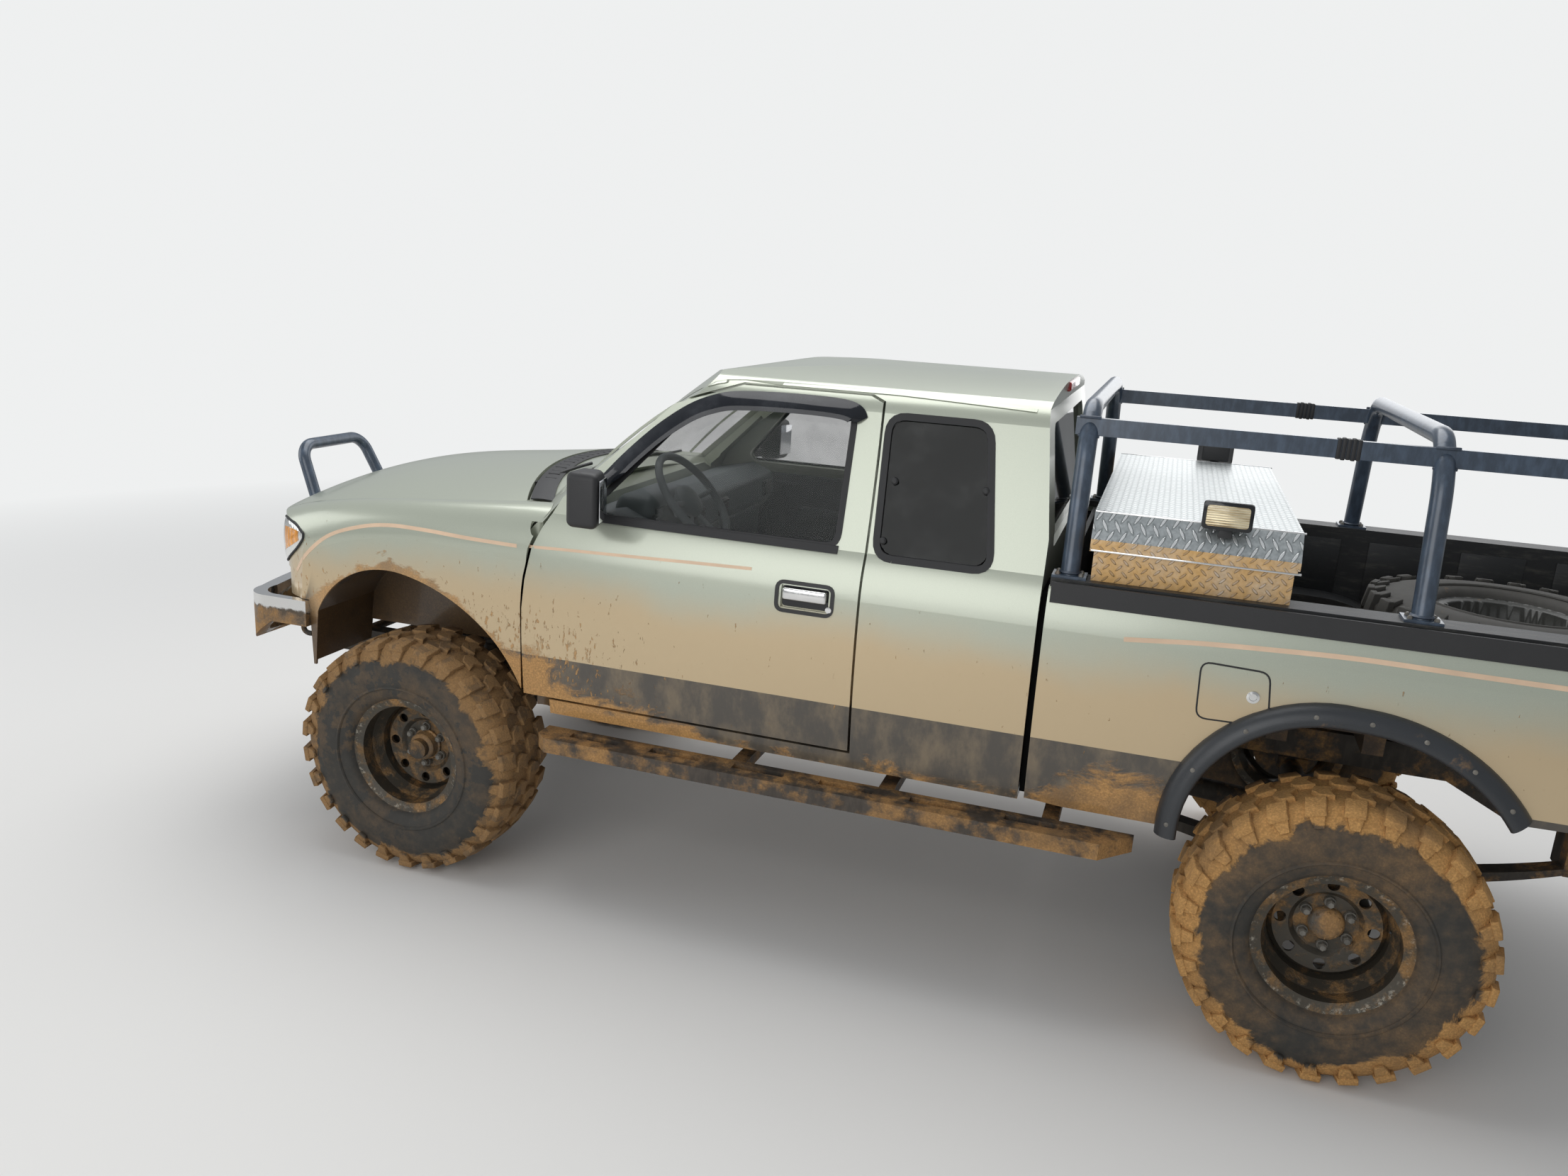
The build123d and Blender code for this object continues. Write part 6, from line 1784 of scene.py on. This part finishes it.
class PICKUP_OT_cabin(bpy.types.Operator):
    """Adds seats, door cards, dashboard details, mirror and sun visors"""

    bl_idname = "pickup.cabin"
    bl_label = "Cabin"

    def execute(self, context):
        self.seats()
        self.dashboard()
        for side, sign in SIDES:
            door = f"door_{side}"
            card = bar((along(0.56), 0.742, 0.80), (along(1.555), 0.766, 1.345), 0.010, 3)
            rest = bar((along(0.93), 0.700, 1.145), (along(1.44), 0.750, 1.205), 0.016, 3)
            pull = tube([(along(0.80), 0.742, 1.30), (along(0.86), 0.722, 1.30), (along(0.92), 0.742, 1.30)],
                        0.009)
            crank = joined([turned([(0, 0), (0, 0.020), (0.014, 0.017), (0.016, 0)],
                                   (along(0.98), 0.722, 1.06), "y", 16),
                            bar((along(0.975), 0.722, 1.055), (along(1.085), 0.730, 1.070), 0.004)])
            pocket = bar((along(0.66), 0.716, 0.84), (along(1.30), 0.748, 0.99), 0.012, 3)
            body = joined([card, rest, pull, crank, pocket])
            for point in body.data.vertices:
                if point.co.z > 1.24:
                    point.co.y -= (point.co.z - 1.24) * 0.10
                if point.co.z < 0.95:
                    point.co.y -= (0.95 - point.co.z) * 0.12
            to_side(body, sign)
            settle(body, f"door_card_{side}", door, "card", 40)
        glass = bar((along(0.800), -0.105, 1.690), (along(0.812), 0.105, 1.755), 0.006, 3)
        arm = tube([(along(0.80), 0, 1.72), (along(0.775), 0, 1.745), (along(0.765), 0, 1.765)], 0.006)
        settle(joined([glass, arm]), "inner_mirror", "chassis", "trim")
        for name, y in (("left", -0.36), ("right", 0.36)):
            shade = bar((along(0.91), y - 0.17, 1.772), (along(1.07), y + 0.17, 1.786), 0.006, 3)
            for point in shade.data.vertices:
                point.co.z += (point.co.x - along(0.91)) * 0.16 - 0.012
            settle(shade, f"sun_visor_{name}", "chassis", "card")
        return {"FINISHED"}

    def seats(self):
        made = []
        x0, x1 = along(1.095), along(1.545)
        base = bar((x0, 0.185, 0.850), (x1, 0.625, 0.965), 0.030, 3)
        for point in base.data.vertices:
            point.co.z += (x1 - point.co.x) * 0.07
        base = plumped(base)
        middle_y = 0.405
        sewn(base, lambda p: abs(abs(p.y - middle_y) - 0.135) if p.z > 0.95 else None)
        sewn(base, lambda p: p.x - along(1.20) if p.z > 0.95 and abs(p.y - middle_y) < 0.135 else None)
        sewn(base, lambda p: p.x - along(1.36) if p.z > 0.95 and abs(p.y - middle_y) < 0.135 else None)
        made.append((base, "cushion"))
        back = bar((-0.055, 0.190, 0.015), (0.055, 0.620, 0.560), 0.034, 3)
        for point in back.data.vertices:
            if point.co.z > 0.3:
                point.co.y = middle_y + (point.co.y - middle_y) * (1 - (point.co.z - 0.3) * 0.55)
        back = plumped(back)
        sewn(back, lambda p: abs(abs(p.y - middle_y) - 0.120) if p.x < 0 else None)
        for z in (0.16, 0.30, 0.43):
            sewn(back, lambda p, z=z: p.z - z if p.x < 0 and abs(p.y - middle_y) < 0.12 else None)
        back.data.transform(Matrix.Translation((along(1.555), 0, 0.975))
                            @ Matrix.Rotation(math.radians(16), 4, "Y"))
        made.append((back, "back"))
        head = bar((-0.040, middle_y - 0.110, 0.0), (0.040, middle_y + 0.110, 0.145), 0.026, 3)
        head = plumped(head, 0.010, 4.0, 0.010)
        head.data.transform(Matrix.Translation((along(1.714), 0, 1.590))
                            @ Matrix.Rotation(math.radians(14), 4, "Y"))
        made.append((head, "headrest"))
        for piece, part in made:
            twin = copied(piece, flip_y=True)
            for side, one in (("right", piece), ("left", twin)):
                settle(one, f"seat_{part}_{side}", "chassis", "seat", 60, replaces=("seats",))
        for side, sign in SIDES:
            plinth = bar((along(1.125), sign * 0.205, 0.7725), (along(1.555), sign * 0.595, 0.862), 0.012, 3)
            posts = [tube([(along(1.69), sign * (middle_y + d), 1.50),
                           (along(1.706), sign * (middle_y + d), 1.56),
                           (along(1.722), sign * (middle_y + d), 1.62)], 0.006) for d in (-0.05, 0.05)]
            lever = tube([(along(1.50), sign * 0.602, 0.87), (along(1.57), sign * 0.618, 0.89),
                          (along(1.62), sign * 0.622, 0.93)], 0.009)
            settle(joined([plinth, *posts, lever]), f"seat_frame_{side}", "chassis", "trim")

    def dashboard(self):
        hood = bar((along(0.640), -0.60, 1.345), (along(0.800), -0.215, 1.425), 0.030, 4, taper=(0.86, 0.86))
        screen = bar((along(0.792), -0.56, 1.285), (along(0.806), -0.255, 1.385), 0.012, 3)
        settle(hood, "instrument_hood", "chassis", "dash")
        settle(screen, "instrument_glass", "chassis", "gloss_black")
        parts = []
        for y in (-0.66, -0.155, 0.095, 0.63):
            frame_piece = bar((along(0.788), y - 0.048, 1.255), (along(0.806), y + 0.048, 1.325), 0.010, 3)
            parts.append(frame_piece)
            for index in range(4):
                z = 1.266 + index * 0.015
                parts.append(bar((along(0.803), y - 0.040, z), (along(0.810), y + 0.040, z + 0.005), 0))
        stack = bar((along(0.742), -0.125, 1.045), (along(0.792), 0.085, 1.235), 0.012, 3)
        knobs = [turned([(0, 0), (0, 0.017), (0.018, 0.014), (0.020, 0)], (along(0.790), y, 1.085), "x", 18)
                 for y in (-0.08, -0.02, 0.04)]
        radio = bar((along(0.788), -0.105, 1.150), (along(0.798), 0.065, 1.205), 0.004)
        box_lid = bar((along(0.765), 0.17, 1.075), (along(0.786), 0.58, 1.225), 0.014, 3)
        settle(joined([*parts, stack, *knobs, radio]), "dash_vents", "chassis", "trim")
        settle(box_lid, "glove_box", "chassis", "dash")
        shift = [tube([(along(1.02), y, 0.86), (along(1.045), y, 0.98), (along(1.05), y, 1.10)], 0.008)
                 for y in (-0.02, 0.06)]
        shift += [turned([(-0.018, 0), (-0.016, 0.014), (0, 0.022), (0.016, 0.014), (0.018, 0)],
                         (along(1.05), y, 1.115), "z", 18) for y in (-0.02, 0.06)]
        boot = turned([(0, 0.085), (0.03, 0.060), (0.06, 0.030), (0.075, 0.012)],
                      (along(1.025), 0.02, 0.876), "z", 20)
        settle(joined([*shift, boot]), "gear_levers", "chassis", "trim", 50)
        pad = turned([(-0.004, 0), (-0.004, 0.062), (0.010, 0.066), (0.024, 0.056), (0.030, 0.034),
                      (0.032, 0)], (0, 0, 0), "x", 28)
        lean = Matrix.Rotation(math.radians(-40), 4, "Y")
        pad.data.transform(Matrix.Translation((along(0.872 - 0.022), -0.40, 1.409 - 0.018)) @ lean)
        settle(pad, "horn_pad", "steering_wheel", "dash", 50)
        stalks = tube([(along(0.80), -0.58, 1.36), (along(0.795), -0.40, 1.345), (along(0.80), -0.22, 1.36)],
                      0.007)
        settle(stalks, "column_stalks", "chassis", "trim")


class PICKUP_PT_pieces(bpy.types.Panel):
    """Lists the pickup's pieces"""

    bl_idname = "PICKUP_PT_pieces"
    bl_label = "Off-road pickup"
    bl_space_type = "VIEW_3D"
    bl_region_type = "UI"
    bl_category = "Pickup"

    def draw(self, context):
        for field in PICKUP_PG_look.__annotations__:
            self.layout.prop(context.scene.pickup_look, field)
        for step in steps:
            self.layout.operator(step.bl_idname)


steps = (
    PICKUP_OT_stage,
    PICKUP_OT_finishes,
    PICKUP_OT_tyres,
    PICKUP_OT_wheels,
    PICKUP_OT_glazing,
    PICKUP_OT_body_trim,
    PICKUP_OT_flares,
    PICKUP_OT_front,
    PICKUP_OT_bed,
    PICKUP_OT_tail,
    PICKUP_OT_running_gear,
    PICKUP_OT_engine_bay,
    PICKUP_OT_cabin,
)
classes = (PICKUP_PG_look, *steps, PICKUP_PT_pieces)


def register():
    for cls in classes:
        bpy.utils.register_class(cls)
    bpy.types.Scene.pickup_look = bpy.props.PointerProperty(type=PICKUP_PG_look)


def unregister():
    del bpy.types.Scene.pickup_look
    for cls in reversed(classes):
        bpy.utils.unregister_class(cls)


def main():
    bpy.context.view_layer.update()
    register()
    for step in steps:
        group, name = step.bl_idname.split(".")
        getattr(getattr(bpy.ops, group), name)()


if __name__ == "__main__":
    main()
